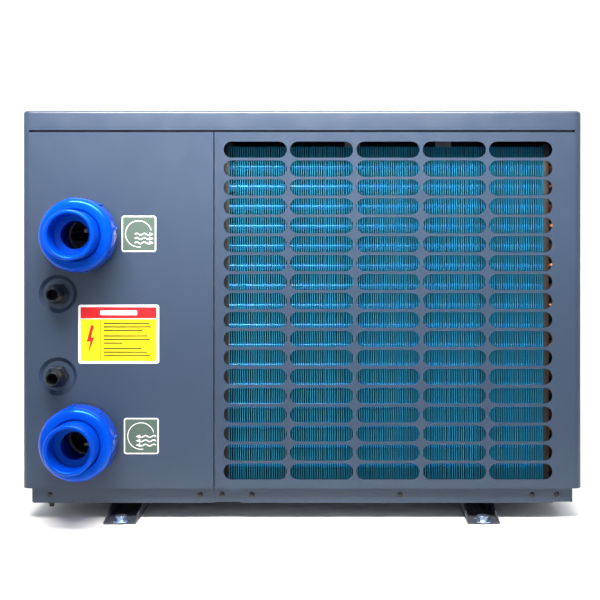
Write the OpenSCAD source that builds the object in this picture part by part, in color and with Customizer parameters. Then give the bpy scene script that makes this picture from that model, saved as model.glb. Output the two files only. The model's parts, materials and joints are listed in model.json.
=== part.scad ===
// Pool heat pump unit: an air-source heater for swimming pool water.
// The casing stands on two steel feet. The rear faces -Y and carries the pipe unions, the cable
// glands and the slotted guard over the evaporator coil. The fan blows out of the front, to +Y.

/* [Casing] */
// Width of the casing, left to right
body_w = 700; // [700:1:720]
// Depth of the casing, front to rear
body_d = 275; // [275:1:285]
// Height of the unit from the floor
body_h = 513; // [513:1:525]
// Radius of the casing's upright corners
corner_r = 10; // [8:1:12]
// Thickness of the casing sheet
sheet_t = 1; // [0.8:0.1:1]
// Width of the service side, up to the seam in the rear face
service_w = 240; // [239:0.5:241]
// Height of the top cover's skirt
skirt_h = 24.4; // [22:0.1:26]
// Shadow gap between the rear panels and the top cover
cover_gap = 2.6; // [1:0.1:4]
// Height at which the panels step in over the base tray
ledge_z = 41; // [38:0.5:44]

/* [Guard slots] */
// Number of columns of slots
slot_cols = 5; // [3:1:5]
// Number of rows of slots
slot_rows = 18; // [10:1:18]
// Distance between columns
slot_pitch_x = 82.9; // [82:0.1:83]
// Distance between rows
slot_pitch_z = 23.65; // [23:0.05:23.7]
// Length of one slot
slot_w = 79; // [70:0.5:80]
// Height of one slot
slot_h = 20.3; // [10:0.1:20.5]

/* [Water unions] */
// Bore of the solvent-cement socket
socket_bore = 50; // [40:1:50]
// Depth of the socket
socket_depth = 31; // [20:1:31]
// Diameter of the union nut
nut_d = 91; // [88:0.5:92]
// Reach of the union beyond the rear panel
union_reach = 72; // [70:1:75]
// Distance of both unions from the left side
union_inset = 76; // [75:0.5:77]
// Height of the lower union
lower_union_z = 102.5; // [102:0.5:106]
// Height of the upper union
upper_union_z = 357.5; // [355:0.5:360]

/* [Cable glands] */
// Distance of both glands from the left side
gland_inset = 45; // [44:0.5:46]
// Height of the lower gland
lower_gland_z = 181; // [178:1:184]
// Height of the upper gland
upper_gland_z = 284; // [280:1:284]
// Bore that the cable passes through
gland_bore = 12.6; // [8:0.2:12.6]
// Diameter of the pressed dish around a gland
dish_d = 48; // [44:0.5:48]

/* [Feet] */
// Height of the base tray's underside above the floor
foot_h = 22; // [20:1:24]
// Distance of each foot from the middle
foot_x = 225; // [200:5:250]
// Width of a foot
foot_w = 40; // [36:1:44]
// Overhang of a foot beyond the casing at each end
foot_overhang = 14; // [12:1:18]

/* [Fan and coil] */
// Radius of the fan over its blade tips
fan_r = 188; // [150:1:188]
// Number of fan blades
fan_blades = 4; // [3:1:5]
// Number of fins in the coil
fin_count = 141; // [40:1:150]
// Distance between neighbouring coil tubes
tube_pitch = 25.4; // [25:0.1:25.4]
// Number of tubes in each of the coil's two rows
row_tubes = 16; // [4:2:16]

/* [Hidden] */
$fn = 64;

// Colours
paint = [0.33, 0.39, 0.48];
blue_pvc = [0.02, 0.32, 0.9];
zinc = [0.62, 0.66, 0.74];
galvanised = [0.72, 0.74, 0.76];
black_plastic = [0.06, 0.06, 0.07];
rubber_black = [0.1, 0.1, 0.1];
copper = [0.76, 0.42, 0.24];
fin_blue = [0.05, 0.4, 0.6];

// Casing planes. The origin is on the floor, midway between the ends of the whole unit.
rear_y = union_reach - (union_reach + body_d + foot_overhang) / 2;
front_y = rear_y + body_d;
left_x = -body_w / 2;
right_x = body_w / 2;
cover_z = body_h - skirt_h;
panel_top = cover_z - cover_gap;
seam_x = left_x + service_w;
seam_half = 0.7;
stud_x = -318.7;
foot_hole = 9;
front_seam_y = front_y - 20;
return_depth = 11;

// Step from the panel faces in to the base tray
step_y = 8;
step_x = 9.5;
flange_z = foot_h - 1;
tray_t = 1.2;
tray_rim_z = 50;
tray_x = right_x - step_x - 1;
tray_rear = rear_y + step_y + sheet_t;
tray_front = front_y - step_y - sheet_t;
tray_floor = foot_h + tray_t;
hem_inset = 1.5;
gap_end_x = 341;

// Rear panels' lower flanges, from left to right
service_flange = [left_x + 12, seam_x - seam_half];
grille_flange = [seam_x + 33, right_x - 35];
side_flange = [rear_y + 25, front_seam_y - 20];

// Screws: [x, true where the screw holds the tray itself]
screw_z = 31;
screw_head_r = 3.5;
screw_head_h = 2.2;
screw_shank_r = 1.75;
pilot_r = 1.95;
clear_r = 2.2;
rear_screws = [[-317, false], [-128, false], [-101, true], [-63, false],
               [123, false], [289, false], [320, true]];
side_screw_ys = [rear_y + 55, front_seam_y - 50];
front_screw_xs = [-300, -110, 60, 280];
cover_screw_xs = [-290, 0, 290];
cover_screw_z = cover_z + 12;

// Slots
slot_x0 = seam_x + 51.5;
slot_z0 = ledge_z + 21.15;

// Pressed dishes for the glands
dish_depth = 3.5;
dish_slope = 5;

// Fan
fan_x = 124;
fan_z = 255;
ring_r = 212;
opening_r = 196;
throat_r = 194;
guard_t = 6;
guard_screw_r = 204;
shaft_r = 6;
motor_r = 52;
motor_y = -28.5;
motor_l = 70;
motor_nose = 12;
hub_y = 92;
hub_l = 42;
hub_r = 40;

// Evaporator coil
coil_y = rear_y + 25;
coil_d = 44;
fin_t = 0.3;
coil_x0 = seam_x + 13.6;
coil_x1 = right_x - 39.3;
coil_z0 = 37;
coil_z1 = 470;
tube_r = 4.76;
near_row_y = coil_y + 11;
far_row_y = coil_y + 33;
near_row_z = 443.6;
far_row_z = near_row_z - tube_pitch / 2;
end_plate_x = [coil_x0 - 4.6, coil_x1 + 0.8];
end_plate_t = 1.2;
bend_x = [coil_x0 - 7.6, coil_x1 + 3.8];
stub_x = coil_x0 - 16.6;
braze_gap = 0.1;

// Handles
handle_y = 40;
handle_z = 440;
handle_w = 90;
handle_h = 36;
handle_depth = 30;

// Water side
union_x = left_x + union_inset;
thread_r = 38;
barrel_r = 30.3;
water_bore_r = 20;
nut_rear = 8;
nut_front = 42;
flange_s = 36;
tail_s = 30.1;
shell_y = rear_y + 70.5;
shell_r = 58;
shell_in_r = 52;
shell_z = 62;
shell_top = 400;
lid_r = 62;
lid_h = 10;
helix_r = 36;
helix_bore = 5;
helix_turns = 11.5;
port_a = [helix_r * cos(-30), helix_r * sin(-30)];
lid_top = shell_top + lid_h;

// Glands
gland_x = left_x + gland_inset;
gland_hex_r = 13.86;
gland_thread_r = 10;

// Controller on the front face
panel_x = -225;
panel_z = 330;
bezel_w = 130;
bezel_h = 90;
bezel_t = 3;
button_z = panel_z - 27;
button_r = 6;
button_pitch = 26;
window_size = [84, 34];
window_z = panel_z + 15;

// Compressor side
comp_x = -170;
comp_y = 85;
comp_r = 55;
comp_z = 40;
comp_top = 290;
lug_r = 68;
lug_angles = [45, 165, 285];
acc_x = comp_x - 94;
acc_r = 25;
valve_x = -200;
valve_z = 372;
valve_r = 14;
box_z = 412;

// ---------- Shared shapes ----------

// Block between two opposite corners
module block(low, high) {
    translate(low) cube(high - low);
}

// Round bar that starts at a point and runs to +Y
module bar_y(x, y, z, r, length) {
    translate([x, y, z]) rotate([-90, 0, 0]) cylinder(r = r, h = length);
}

// Round bar that starts at a point and runs to +X
module bar_x(x, y, z, r, length) {
    translate([x, y, z]) rotate([0, 90, 0]) cylinder(r = r, h = length);
}

// Turned part on an axis that leaves the rear panel: profile points are [radius, distance out]
module turned_out(x, z, profile) {
    translate([x, rear_y, z]) rotate([90, 0, 0]) rotate_extrude() polygon(profile);
}

// Plan outline of the casing, moved inwards by inset
module casing_outline(inset) {
    w = body_w - 2 * inset;
    d = body_d - 2 * inset;
    r = corner_r - inset;
    translate([0, (rear_y + front_y) / 2]) {
        square([w - 2 * r, d], center = true);
        square([w, d - 2 * r], center = true);
        for (side = [-1, 1], end = [-1, 1])
            translate([side * (w / 2 - r), end * (d / 2 - r)]) circle(r);
    }
}

// Casing wall all the way round, between two heights
module casing_wall(low, high) {
    translate([0, 0, low]) linear_extrude(high - low) difference() {
        casing_outline(0);
        casing_outline(sheet_t);
    }
}

// Slot with fully round ends, through the rear panel
module slot(x, z) {
    straight = slot_w - slot_h;
    translate([x, rear_y + 5, z]) rotate([90, 0, 0]) linear_extrude(10) {
        square([straight, slot_h], center = true);
        for (end = [-1, 1]) translate([end * straight / 2, 0]) circle(d = slot_h);
    }
}

// Ledge and flange that step a panel's rear face in to the tray
module rear_step(x0, x1) {
    block([x0, rear_y + sheet_t / 2, ledge_z], [x1, tray_rear, ledge_z + sheet_t]);
    block([x0, rear_y + step_y, flange_z], [x1, tray_rear, ledge_z + sheet_t]);
}

// The same step on a side face: side is -1 for left and 1 for right
module side_step(side) {
    outer = side * (right_x - sheet_t / 2);
    inner = side * tray_x;
    face = side * (tray_x + sheet_t);
    top = ledge_z + sheet_t;
    block([min(outer, inner), side_flange[0], ledge_z], [max(outer, inner), side_flange[1], top]);
    block([min(face, inner), side_flange[0], flange_z], [max(face, inner), side_flange[1], top]);
}

// Clearance holes for the side screws, through a panel's flange
module side_screw_holes(side, r) {
    for (y = side_screw_ys) bar_x(side * tray_x - 4, y, screw_z, r, 8);
}

// Pan-head screw that points to +Z, with the underside of its head at the origin
module screw() {
    rotate_extrude() polygon([
        [0, -screw_head_h], [screw_head_r * 0.55, -screw_head_h], [screw_head_r, -screw_head_h * 0.45],
        [screw_head_r, 0], [screw_shank_r, 0], [screw_shank_r, 7], [0, 8.5]]);
}

// Direction of a vector
function unit(v) = v / norm(v);

// Points of a bend of radius r that rounds off the corner at b between a and c
function bend_points(a, b, c, r, steps) =
    let (u = unit(a - b), w = unit(c - b), half = acos(u * w) / 2,
         centre = b + unit(u + w) * r / sin(half),
         p = b + u * r / tan(half) - centre, q = b + w * r / tan(half) - centre,
         turn = 180 - 2 * half)
    [for (i = [0:steps]) centre
        + (sin(turn * (1 - i / steps)) * p + sin(turn * i / steps) * q) / sin(turn)];

// Route with every inner corner rounded off
function rounded_route(points, r, steps = 6) = concat(
    [points[0]],
    [for (i = [1:len(points) - 2]) each bend_points(points[i - 1], points[i], points[i + 1], r, steps)],
    [points[len(points) - 1]]);

// Direction of a route at point i
function heading(route, i) =
    unit(route[min(i + 1, len(route) - 1)] - route[max(i - 1, 0)]);

// Sideways directions along a route, each turned as little as possible from the last
function sideways(route, i, last) =
    i >= len(route) ? [] :
    let (t = heading(route, i), side = unit(last - (last * t) * t))
    concat([side], sideways(route, i + 1, side));

// Round pipe of radius r along a route
module pipe(route, r, first_side, sides = 10) {
    count = len(route);
    across = sideways(route, 0, first_side);
    rings = [for (i = [0:count - 1], k = [0:sides - 1])
        let (t = heading(route, i), a = 360 * k / sides)
        route[i] + r * (cos(a) * across[i] + sin(a) * cross(t, across[i]))];
    walls = [for (i = [0:count - 2], k = [0:sides - 1])
        let (n = (k + 1) % sides, here = i * sides, next = here + sides)
        [here + k, next + k, next + n, here + n]];
    first_cap = [for (k = [0:sides - 1]) k];
    last_cap = [for (k = [sides - 1:-1:0]) (count - 1) * sides + k];
    polyhedron(rings, concat(walls, [first_cap, last_cap]), convexity = 10);
}

// ---------- Base and feet ----------

// Pressed pan that carries everything, with a collar for the condensate drain
module base_tray() {
    color(paint) difference() {
        union() {
            difference() {
                block([-tray_x, tray_rear, foot_h], [tray_x, tray_front, tray_rim_z]);
                block([-tray_x + tray_t, tray_rear + tray_t, tray_floor],
                      [tray_x - tray_t, tray_front - tray_t, tray_rim_z + 1]);
            }
            translate([100, 60, foot_h - 6]) cylinder(r = 10.5, h = 6.5);
        }
        translate([100, 60, 0]) cylinder(r = 9, h = tray_rim_z);
        translate([stud_x, tray_rear + 14, 0]) cylinder(r = 3.2, h = tray_rim_z);
        for (s = rear_screws) bar_y(s[0], tray_rear - 1, screw_z, pilot_r, 4);
        for (x = front_screw_xs) bar_y(x, tray_front - 3, screw_z, pilot_r, 4);
        for (side = [-1, 1]) side_screw_holes(side, pilot_r);
        for (a = lug_angles)
            translate([comp_x + lug_r * cos(a), comp_y + lug_r * sin(a), 0])
                cylinder(r = 4.2, h = tray_rim_z);
    }
}

// Steel channel with sides that taper down to the ends
module foot(x) {
    length = body_d + 2 * foot_overhang;
    side_outline = [[0, 0], [0, 3], [12, 5], [48, foot_h - 7], [72, foot_h],
                    [length - 72, foot_h], [length - 48, foot_h - 7], [length - 12, 5],
                    [length, 3], [length, 0]];
    color([0.2, 0.22, 0.26]) translate([x, rear_y - foot_overhang, 0]) difference() {
        union() {
            for (side = [-foot_w / 2, foot_w / 2 - 2])
                translate([side, 0, 0]) rotate([90, 0, 90]) linear_extrude(2) polygon(side_outline);
            block([-foot_w / 2, 0, 0], [foot_w / 2, length, 2]);
        }
        for (y = [foot_hole, length - 12]) translate([0, y, -1]) cylinder(r = 4.5, h = 10);
        for (y = [26, length - 26]) translate([12, y, -1]) cylinder(r = 1.5, h = 10);
    }
}

module left_foot() {
    foot(-foot_x);
}

module right_foot() {
    foot(foot_x);
}

// Places of the four hold-down bolts
module at_foot_ends() {
    rear = rear_y - foot_overhang + foot_hole;
    front = front_y + foot_overhang - 12;
    for (x = [-foot_x, foot_x], y = [rear, front]) translate([x, y, 0]) children();
}

// Hexagon bolts with broad washers, drawn cut off at the floor
module foot_bolts() {
    color(zinc) at_foot_ends() {
        translate([0, 0, 2]) cylinder(r = 12, h = 1.6);
        translate([0, 0, 3.5]) cylinder(r = 7.5, h = 5.3, $fn = 6);
        translate([0, 0, 0.2]) cylinder(r = 4, h = 3);
    }
}

// Stud for the bonding wire, under the tray's rear left corner
module bonding_stud() {
    color(zinc) translate([stud_x, tray_rear + 14, foot_h]) {
        translate([0, 0, -5]) cylinder(r = 4.9, h = 5, $fn = 6);
        translate([0, 0, -9]) cylinder(r = 3, h = tray_t + 14);
    }
}

// ---------- Sheet-metal casing ----------

// Pan-shaped lid with a hem that hangs behind the rear panels
module top_cover() {
    color(paint) difference() {
        union() {
            casing_wall(cover_z, body_h);
            translate([0, 0, body_h - sheet_t]) linear_extrude(sheet_t) casing_outline(0);
            block([-gap_end_x + 3, rear_y + hem_inset, cover_z - 12],
                  [gap_end_x - 3, rear_y + hem_inset + 1, body_h]);
        }
        for (x = cover_screw_xs) bar_y(x, front_y - 3, cover_screw_z, clear_r, 6);
    }
}

// Pressed dish around a gland hole: the boss inside and the hollow outside
module dish_boss(z) {
    translate([gland_x, rear_y + sheet_t / 2, z]) rotate([-90, 0, 0])
        cylinder(r1 = dish_d / 2 + 1.2, r2 = dish_d / 2 - dish_slope + 1, h = dish_depth + sheet_t / 2);
}

module dish_hollow(z) {
    translate([gland_x, rear_y, z]) rotate([-90, 0, 0])
        cylinder(r1 = dish_d / 2, r2 = dish_d / 2 - dish_slope, h = dish_depth);
    bar_y(gland_x, rear_y - 1, z, dish_d / 2, 1);
    bar_y(gland_x, rear_y, z, gland_thread_r + 0.25, 12);
}

// Cut-out for a handle cup in a side face
module handle_cutout(side) {
    translate([side * right_x, handle_y, handle_z]) cube([4, handle_w, handle_h], center = true);
}

// Left rear face and left side in one bent sheet, with the holes for unions and glands
module service_panel() {
    color(paint) difference() {
        union() {
            intersection() {
                casing_wall(ledge_z, cover_z);
                union() {
                    block([left_x - 1, rear_y - 1, 0], [seam_x - seam_half, rear_y + 30, body_h]);
                    block([left_x - 1, rear_y - 1, 0], [left_x + 30, front_seam_y - seam_half, body_h]);
                }
            }
            rear_step(service_flange[0], service_flange[1]);
            side_step(-1);
            block([seam_x - seam_half - sheet_t, rear_y + sheet_t / 2, tray_rim_z + 1],
                  [seam_x - seam_half, rear_y + return_depth, panel_top]);
            for (z = [lower_gland_z, upper_gland_z]) dish_boss(z);
        }
        block([-gap_end_x, rear_y - 1, panel_top], [0, rear_y + 1.4, body_h]);
        for (z = [lower_gland_z, upper_gland_z]) dish_hollow(z);
        for (z = [lower_union_z, upper_union_z]) bar_y(union_x, rear_y - 1, z, 34, 4);
        for (s = rear_screws) if (!s[1]) bar_y(s[0], rear_y + step_y - 1, screw_z, clear_r, 3);
        side_screw_holes(-1, clear_r);
        handle_cutout(-1);
    }
}

// Right rear face and right side in one bent sheet, with the air slots
module grille_panel() {
    color(paint) difference() {
        union() {
            intersection() {
                casing_wall(ledge_z, cover_z);
                union() {
                    block([seam_x + seam_half, rear_y - 1, 0], [right_x + 1, rear_y + 30, body_h]);
                    block([right_x - 30, rear_y - 1, 0], [right_x + 1, front_seam_y - seam_half, body_h]);
                }
            }
            rear_step(grille_flange[0], grille_flange[1]);
            side_step(1);
            block([seam_x + seam_half, rear_y + sheet_t / 2, tray_rim_z + 1],
                  [seam_x + seam_half + sheet_t, rear_y + return_depth, panel_top]);
        }
        block([-200, rear_y - 1, panel_top], [gap_end_x, rear_y + 1.4, body_h]);
        for (col = [0:slot_cols - 1], row = [0:slot_rows - 1])
            slot(slot_x0 + col * slot_pitch_x, slot_z0 + row * slot_pitch_z);
        for (s = rear_screws) if (!s[1]) bar_y(s[0], rear_y + step_y - 1, screw_z, clear_r, 3);
        side_screw_holes(1, clear_r);
        handle_cutout(1);
    }
}

// Front face with both front corners, the round air outlet and the controller's cut-out
module front_panel() {
    color(paint) difference() {
        union() {
            intersection() {
                casing_wall(ledge_z, cover_z);
                block([left_x - 1, front_seam_y + seam_half, 0], [right_x + 1, front_y + 1, body_h]);
            }
            block([left_x + 12, tray_front, ledge_z],
                  [right_x - 12, front_y - sheet_t / 2, ledge_z + sheet_t]);
            block([left_x + 12, tray_front, flange_z],
                  [right_x - 12, tray_front + sheet_t, ledge_z + sheet_t]);
            for (x = cover_screw_xs)
                block([x - 15, front_y - 2 * sheet_t, cover_z - 15],
                      [x + 15, front_y - sheet_t, cover_z + 20]);
        }
        bar_y(fan_x, front_y - 5, fan_z, opening_r, 10);
        block([panel_x - bezel_w / 2 + 6, front_y - 5, panel_z - bezel_h / 2 + 6],
              [panel_x + bezel_w / 2 - 6, front_y + 5, panel_z + bezel_h / 2 - 6]);
        for (x = front_screw_xs) bar_y(x, tray_front - 1, screw_z, clear_r, 4);
        for (x = cover_screw_xs) bar_y(x, front_y - 4, cover_screw_z, pilot_r, 5);
        for (a = [45:90:315])
            bar_y(fan_x + guard_screw_r * cos(a), front_y - 5, fan_z + guard_screw_r * sin(a), pilot_r, 10);
    }
}

// Moulded guard of rings and spokes over the air outlet
module fan_guard() {
    spokes = 12;
    color(black_plastic) translate([fan_x, front_y, fan_z]) rotate([-90, 0, 0]) linear_extrude(guard_t)
        difference() {
            union() {
                difference() {
                    circle(ring_r);
                    circle(opening_r - 4);
                }
                for (r = [42:12.5:190]) difference() {
                    circle(r + 1.5);
                    circle(r - 1.5);
                }
                circle(30);
                intersection() {
                    circle(opening_r);
                    for (i = [0:spokes / 2 - 1])
                        rotate(i * 360 / spokes) square([2 * ring_r, 4], center = true);
                }
            }
            for (a = [45:90:315]) translate([guard_screw_r * cos(a), guard_screw_r * sin(a)]) circle(clear_r);
        }
}

// Flared ring behind the front panel that guides the air into the fan
module bell_mouth() {
    color(black_plastic) translate([fan_x, front_y - sheet_t, fan_z]) rotate([90, 0, 0]) rotate_extrude()
        polygon([[throat_r, 0], [ring_r - 14, 0], [ring_r - 14, 2], [throat_r + 2, 2],
                 [throat_r + 2, 46], [throat_r + 9, 56], [throat_r + 7, 57.5], [throat_r, 47]]);
}

// Wall between the fan side and the compressor side
module partition_panel() {
    x = end_plate_x[0] - 2;
    y = coil_y + coil_d + 1.5;
    color(galvanised) {
        block([x, y, tray_floor], [x + sheet_t, tray_front - tray_t - 0.4, panel_top]);
        block([x, y, tray_rim_z + 2], [x + sheet_t, front_y - sheet_t, panel_top]);
        block([x, y, tray_floor], [x + 15, tray_front - 3, tray_floor + sheet_t]);
    }
}

// Recessed grip, clipped behind its cut-out in the side face
module handle(side) {
    color(black_plastic) translate([side * (right_x - sheet_t), handle_y, handle_z])
        mirror([side > 0 ? 1 : 0, 0, 0])
        difference() {
            union() {
                block([0, -handle_w / 2 - 6, -handle_h / 2 - 6], [2, handle_w / 2 + 6, handle_h / 2 + 6]);
                block([0, -handle_w / 2 - 2, -handle_h / 2 - 2],
                      [handle_depth, handle_w / 2 + 2, handle_h / 2 + 2]);
            }
            block([-1, -handle_w / 2, -handle_h / 2], [handle_depth - 2, handle_w / 2, handle_h / 2]);
        }
}

module left_handle() {
    handle(-1);
}

module right_handle() {
    handle(1);
}

// All the casing's self-tapping screws
module casing_screws() {
    color(black_plastic) {
        for (s = rear_screws)
            translate([s[0], rear_y + step_y + (s[1] ? sheet_t : 0), screw_z]) rotate([-90, 0, 0]) screw();
        for (x = front_screw_xs)
            translate([x, tray_front + sheet_t, screw_z]) rotate([90, 0, 0]) screw();
        for (x = cover_screw_xs)
            translate([x, front_y, cover_screw_z]) rotate([90, 0, 0]) screw();
        for (a = [45:90:315])
            translate([fan_x + guard_screw_r * cos(a), front_y + guard_t, fan_z + guard_screw_r * sin(a)])
                rotate([90, 0, 0]) screw();
        for (side = [-1, 1], y = side_screw_ys)
            translate([side * (tray_x + sheet_t), y, screw_z]) rotate([0, -side * 90, 0]) screw();
    }
}

// Printed labels beside the unions and glands: plate with round corners
module label(x, z, w, h) {
    r = 3;
    translate([x, rear_y, z]) rotate([90, 0, 0]) linear_extrude(0.3) {
        square([w - 2 * r, h], center = true);
        square([w, h - 2 * r], center = true);
        for (side = [-1, 1], end = [-1, 1]) translate([side * (w / 2 - r), end * (h / 2 - r)]) circle(r);
    }
}

module labels() {
    color("white") {
        label(-203.7, 359, 43, 45);
        label(-200.7, 106.5, 43.5, 45);
        label(-229, 233.7, 101, 73.5);
    }
}

// ---------- Water unions ----------

// Threaded half, cemented to the heat exchanger's port
module union_body(z) {
    color(blue_pvc) turned_out(union_x, z, [
        [water_bore_r, -11], [barrel_r, -11], [barrel_r, 10], [thread_r, 10], [thread_r, 30],
        [28.2, 30], [28.2, 27.4], [23.8, 27.4], [23.8, 30], [water_bore_r, 30]]);
}

// Ribbed nut that draws the two halves together
module union_nut(z) {
    r = nut_d / 2;
    color(blue_pvc) {
        turned_out(union_x, z, concat(
            [[thread_r + 0.1, nut_rear], [r - 1.5, nut_rear], [r, nut_rear + 1.5]],
            [for (a = [0:15:90]) [r - 8 + 8 * cos(a), nut_front - 9 + 9 * sin(a)]],
            [[31, nut_front], [31, flange_s + 0.1], [thread_r + 0.1, flange_s + 0.1]]));
        for (i = [0:7])
            translate([union_x, rear_y, z]) rotate([90, 0, 0]) rotate([0, 0, 45 * i + 10])
                translate([r - 3, -2.2, nut_rear + 2]) cube([4.4, 4.4, 22]);
    }
}

// Loose half with the socket that the pool pipe is cemented into
module union_tail(z) {
    bore_r = socket_bore / 2;
    color(blue_pvc) turned_out(union_x, z, [
        [bore_r - 8, tail_s], [37, tail_s], [37, flange_s], [barrel_r, flange_s], [barrel_r, union_reach],
        [bore_r, union_reach], [bore_r, union_reach - socket_depth],
        [bore_r - 8, union_reach - socket_depth]]);
}

module upper_union_body() {
    union_body(upper_union_z);
}

module upper_union_nut() {
    union_nut(upper_union_z);
}

module upper_union_tail() {
    union_tail(upper_union_z);
}

module lower_union_body() {
    union_body(lower_union_z);
}

module lower_union_nut() {
    union_nut(lower_union_z);
}

module lower_union_tail() {
    union_tail(lower_union_z);
}

// Seals in the grooves of both threaded halves
module union_orings() {
    color(rubber_black) for (z = [lower_union_z, upper_union_z])
        translate([union_x, rear_y - 28.52, z]) rotate([90, 0, 0])
            rotate_extrude() translate([26, 0]) circle(1.1);
}

// ---------- Cable glands ----------

module gland_body(z) {
    r = gland_bore / 2 + 0.2;
    color(black_plastic) difference() {
        union() {
            translate([gland_x, rear_y + dish_depth, z]) rotate([90, 0, 0])
                cylinder(r = gland_hex_r, h = 8, $fn = 6);
            turned_out(gland_x, z, [[0, -15.5], [gland_thread_r - 0.1, -15.5], [gland_thread_r - 0.1, -3],
                                    [gland_thread_r, -3], [gland_thread_r, 14], [0, 14]]);
        }
        bar_y(gland_x, rear_y - 20, z, r, 40);
        bar_y(gland_x, rear_y - 20, z, 8.4, 11);
    }
}

// Rubber sleeve that grips the cable
module gland_seal(z) {
    r = gland_bore / 2 + 0.2;
    color(rubber_black) turned_out(gland_x, z, [[r, 9.4], [8, 9.4], [8, 20.5], [r, 20.5]]);
}

// Domed nut that squeezes the sleeve
module gland_cap(z) {
    r = gland_bore / 2;
    color(black_plastic) difference() {
        union() {
            translate([gland_x, rear_y - 5.5, z]) rotate([90, 0, 0])
                cylinder(r = gland_hex_r, h = 7.5, $fn = 6);
            turned_out(gland_x, z, concat(
                [[0, 12]], [for (a = [0:15:60]) [4 + 8 * cos(a), 12.5 + 12 * sin(a)]],
                [[8.5, 24.5], [8.5, 27], [0, 27]]));
        }
        bar_y(gland_x, rear_y - 28, z, r, 30);
        bar_y(gland_x, rear_y - 15, z, gland_thread_r + 0.1, 15);
        bar_y(gland_x, rear_y - 21, z, 8.4, 10);
    }
}

module upper_gland_body() {
    gland_body(upper_gland_z);
}

module upper_gland_seal() {
    gland_seal(upper_gland_z);
}

module upper_gland_cap() {
    gland_cap(upper_gland_z);
}

module lower_gland_body() {
    gland_body(lower_gland_z);
}

module lower_gland_seal() {
    gland_seal(lower_gland_z);
}

module lower_gland_cap() {
    gland_cap(lower_gland_z);
}

// Hexagon nuts that hold the glands from inside the panel
module gland_locknuts() {
    color(black_plastic) for (z = [lower_gland_z, upper_gland_z])
        translate([gland_x, rear_y + dish_depth + sheet_t, z]) rotate([-90, 0, 0]) difference() {
            cylinder(r = gland_hex_r, h = 5, $fn = 6);
            translate([0, 0, -1]) cylinder(r = gland_thread_r + 0.1, h = 7);
        }
}

// ---------- Controller on the front ----------

module controller_bezel() {
    x0 = panel_x - bezel_w / 2;
    z0 = panel_z - bezel_h / 2;
    color(black_plastic) difference() {
        union() {
            block([x0, front_y, z0], [x0 + bezel_w, front_y + bezel_t, z0 + bezel_h]);
            block([x0 + 7, front_y - 16, z0 + 7], [x0 + bezel_w - 7, front_y + 1, z0 + bezel_h - 7]);
        }
        block([x0 + 9, front_y - 17, z0 + 9], [x0 + bezel_w - 9, front_y, z0 + bezel_h - 9]);
        translate([panel_x, front_y + bezel_t, window_z])
            cube([window_size[0] + 0.6, 3, window_size[1] + 0.6], center = true);
        for (i = [0:3])
            bar_y(panel_x + (i - 1.5) * button_pitch, front_y - 5, button_z, button_r + 0.35, 10);
    }
}

module display_window() {
    color([0.1, 0.12, 0.14]) translate([panel_x, front_y + bezel_t - 0.75, window_z])
        cube([window_size[0], 1.5, window_size[1]], center = true);
}

// Push button with a shoulder that keeps it behind the bezel
module button(i) {
    x = panel_x + (i - 1.5) * button_pitch;
    color([0.75, 0.77, 0.8]) {
        bar_y(x, front_y - 1.5, button_z, button_r, bezel_t + 3.5);
        bar_y(x, front_y - 3, button_z, button_r + 1.5, 2.5);
    }
}

module power_button() {
    button(0);
}

module mode_button() {
    button(1);
}

module up_button() {
    button(2);
}

module down_button() {
    button(3);
}

// ---------- Fan ----------

// Two uprights and a cross plate that carry the motor
module motor_bracket() {
    y = motor_y;
    color(galvanised) difference() {
        union() {
            for (side = [-1, 1]) {
                x = fan_x + side * 60;
                block([x - 10, y - 1.5, tray_floor], [x + 10, y, panel_top - 1]);
                block([x - 10, y - 8, tray_floor], [x - 8.5, y, panel_top - 1]);
                block([x + 8.5, y - 8, tray_floor], [x + 10, y, panel_top - 1]);
            }
            block([fan_x - 60, y - 1.5, fan_z - 60], [fan_x + 60, y, fan_z + 60]);
        }
        bar_y(fan_x, y - 10, fan_z, 20, 20);
    }
}

module fan_motor() {
    color([0.25, 0.26, 0.28]) difference() {
        union() {
            bar_y(fan_x, motor_y, fan_z, motor_r, motor_l);
            bar_y(fan_x, motor_y, fan_z, 20, motor_l + motor_nose);
        }
        bar_y(fan_x, motor_y + 10, fan_z, shaft_r + 0.05, motor_l + motor_nose);
    }
}

module motor_shaft() {
    color("silver") {
        bar_y(fan_x, motor_y + 12, fan_z, shaft_r, hub_y + hub_l - 6 - motor_y - 12);
        bar_y(fan_x, hub_y, fan_z, 4, hub_l + 10);
    }
}

// Axial fan with plain pitched blades
module fan_blade() {
    pitch = 22;
    color([0.12, 0.12, 0.13]) translate([fan_x, hub_y, fan_z]) rotate([-90, 0, 0]) difference() {
        union() {
            cylinder(r = hub_r, h = hub_l - 6);
            intersection() {
                difference() {
                    cylinder(r = fan_r, h = 60, center = true);
                    cylinder(r = hub_r - 4, h = 70, center = true);
                }
                for (i = [0:fan_blades - 1])
                    rotate([0, 0, 360 / fan_blades * i]) rotate([pitch, 0, 0])
                        translate([110, 0, 0]) cube([180, 120, 3], center = true);
            }
        }
        translate([0, 0, -1]) cylinder(r = shaft_r + 0.02, h = hub_l + 5);
    }
}

module fan_nut() {
    color(zinc) translate([fan_x, hub_y + hub_l - 6, fan_z]) rotate([-90, 0, 0]) difference() {
        union() {
            cylinder(r = 12, h = 2);
            translate([0, 0, 1]) cylinder(r = 7.5, h = 8, $fn = 6);
        }
        translate([0, 0, -1]) cylinder(r = 4.05, h = 20);
    }
}

// ---------- Evaporator coil ----------

// Plain plates on even spacing
module coil_fins() {
    pitch = (coil_x1 - coil_x0) / fin_count;
    color(fin_blue) for (i = [0:fin_count - 1])
        translate([coil_x0 + (i + 0.5) * pitch - fin_t / 2, coil_y, coil_z0])
            cube([fin_t, coil_d, coil_z1 - coil_z0]);
}

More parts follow.
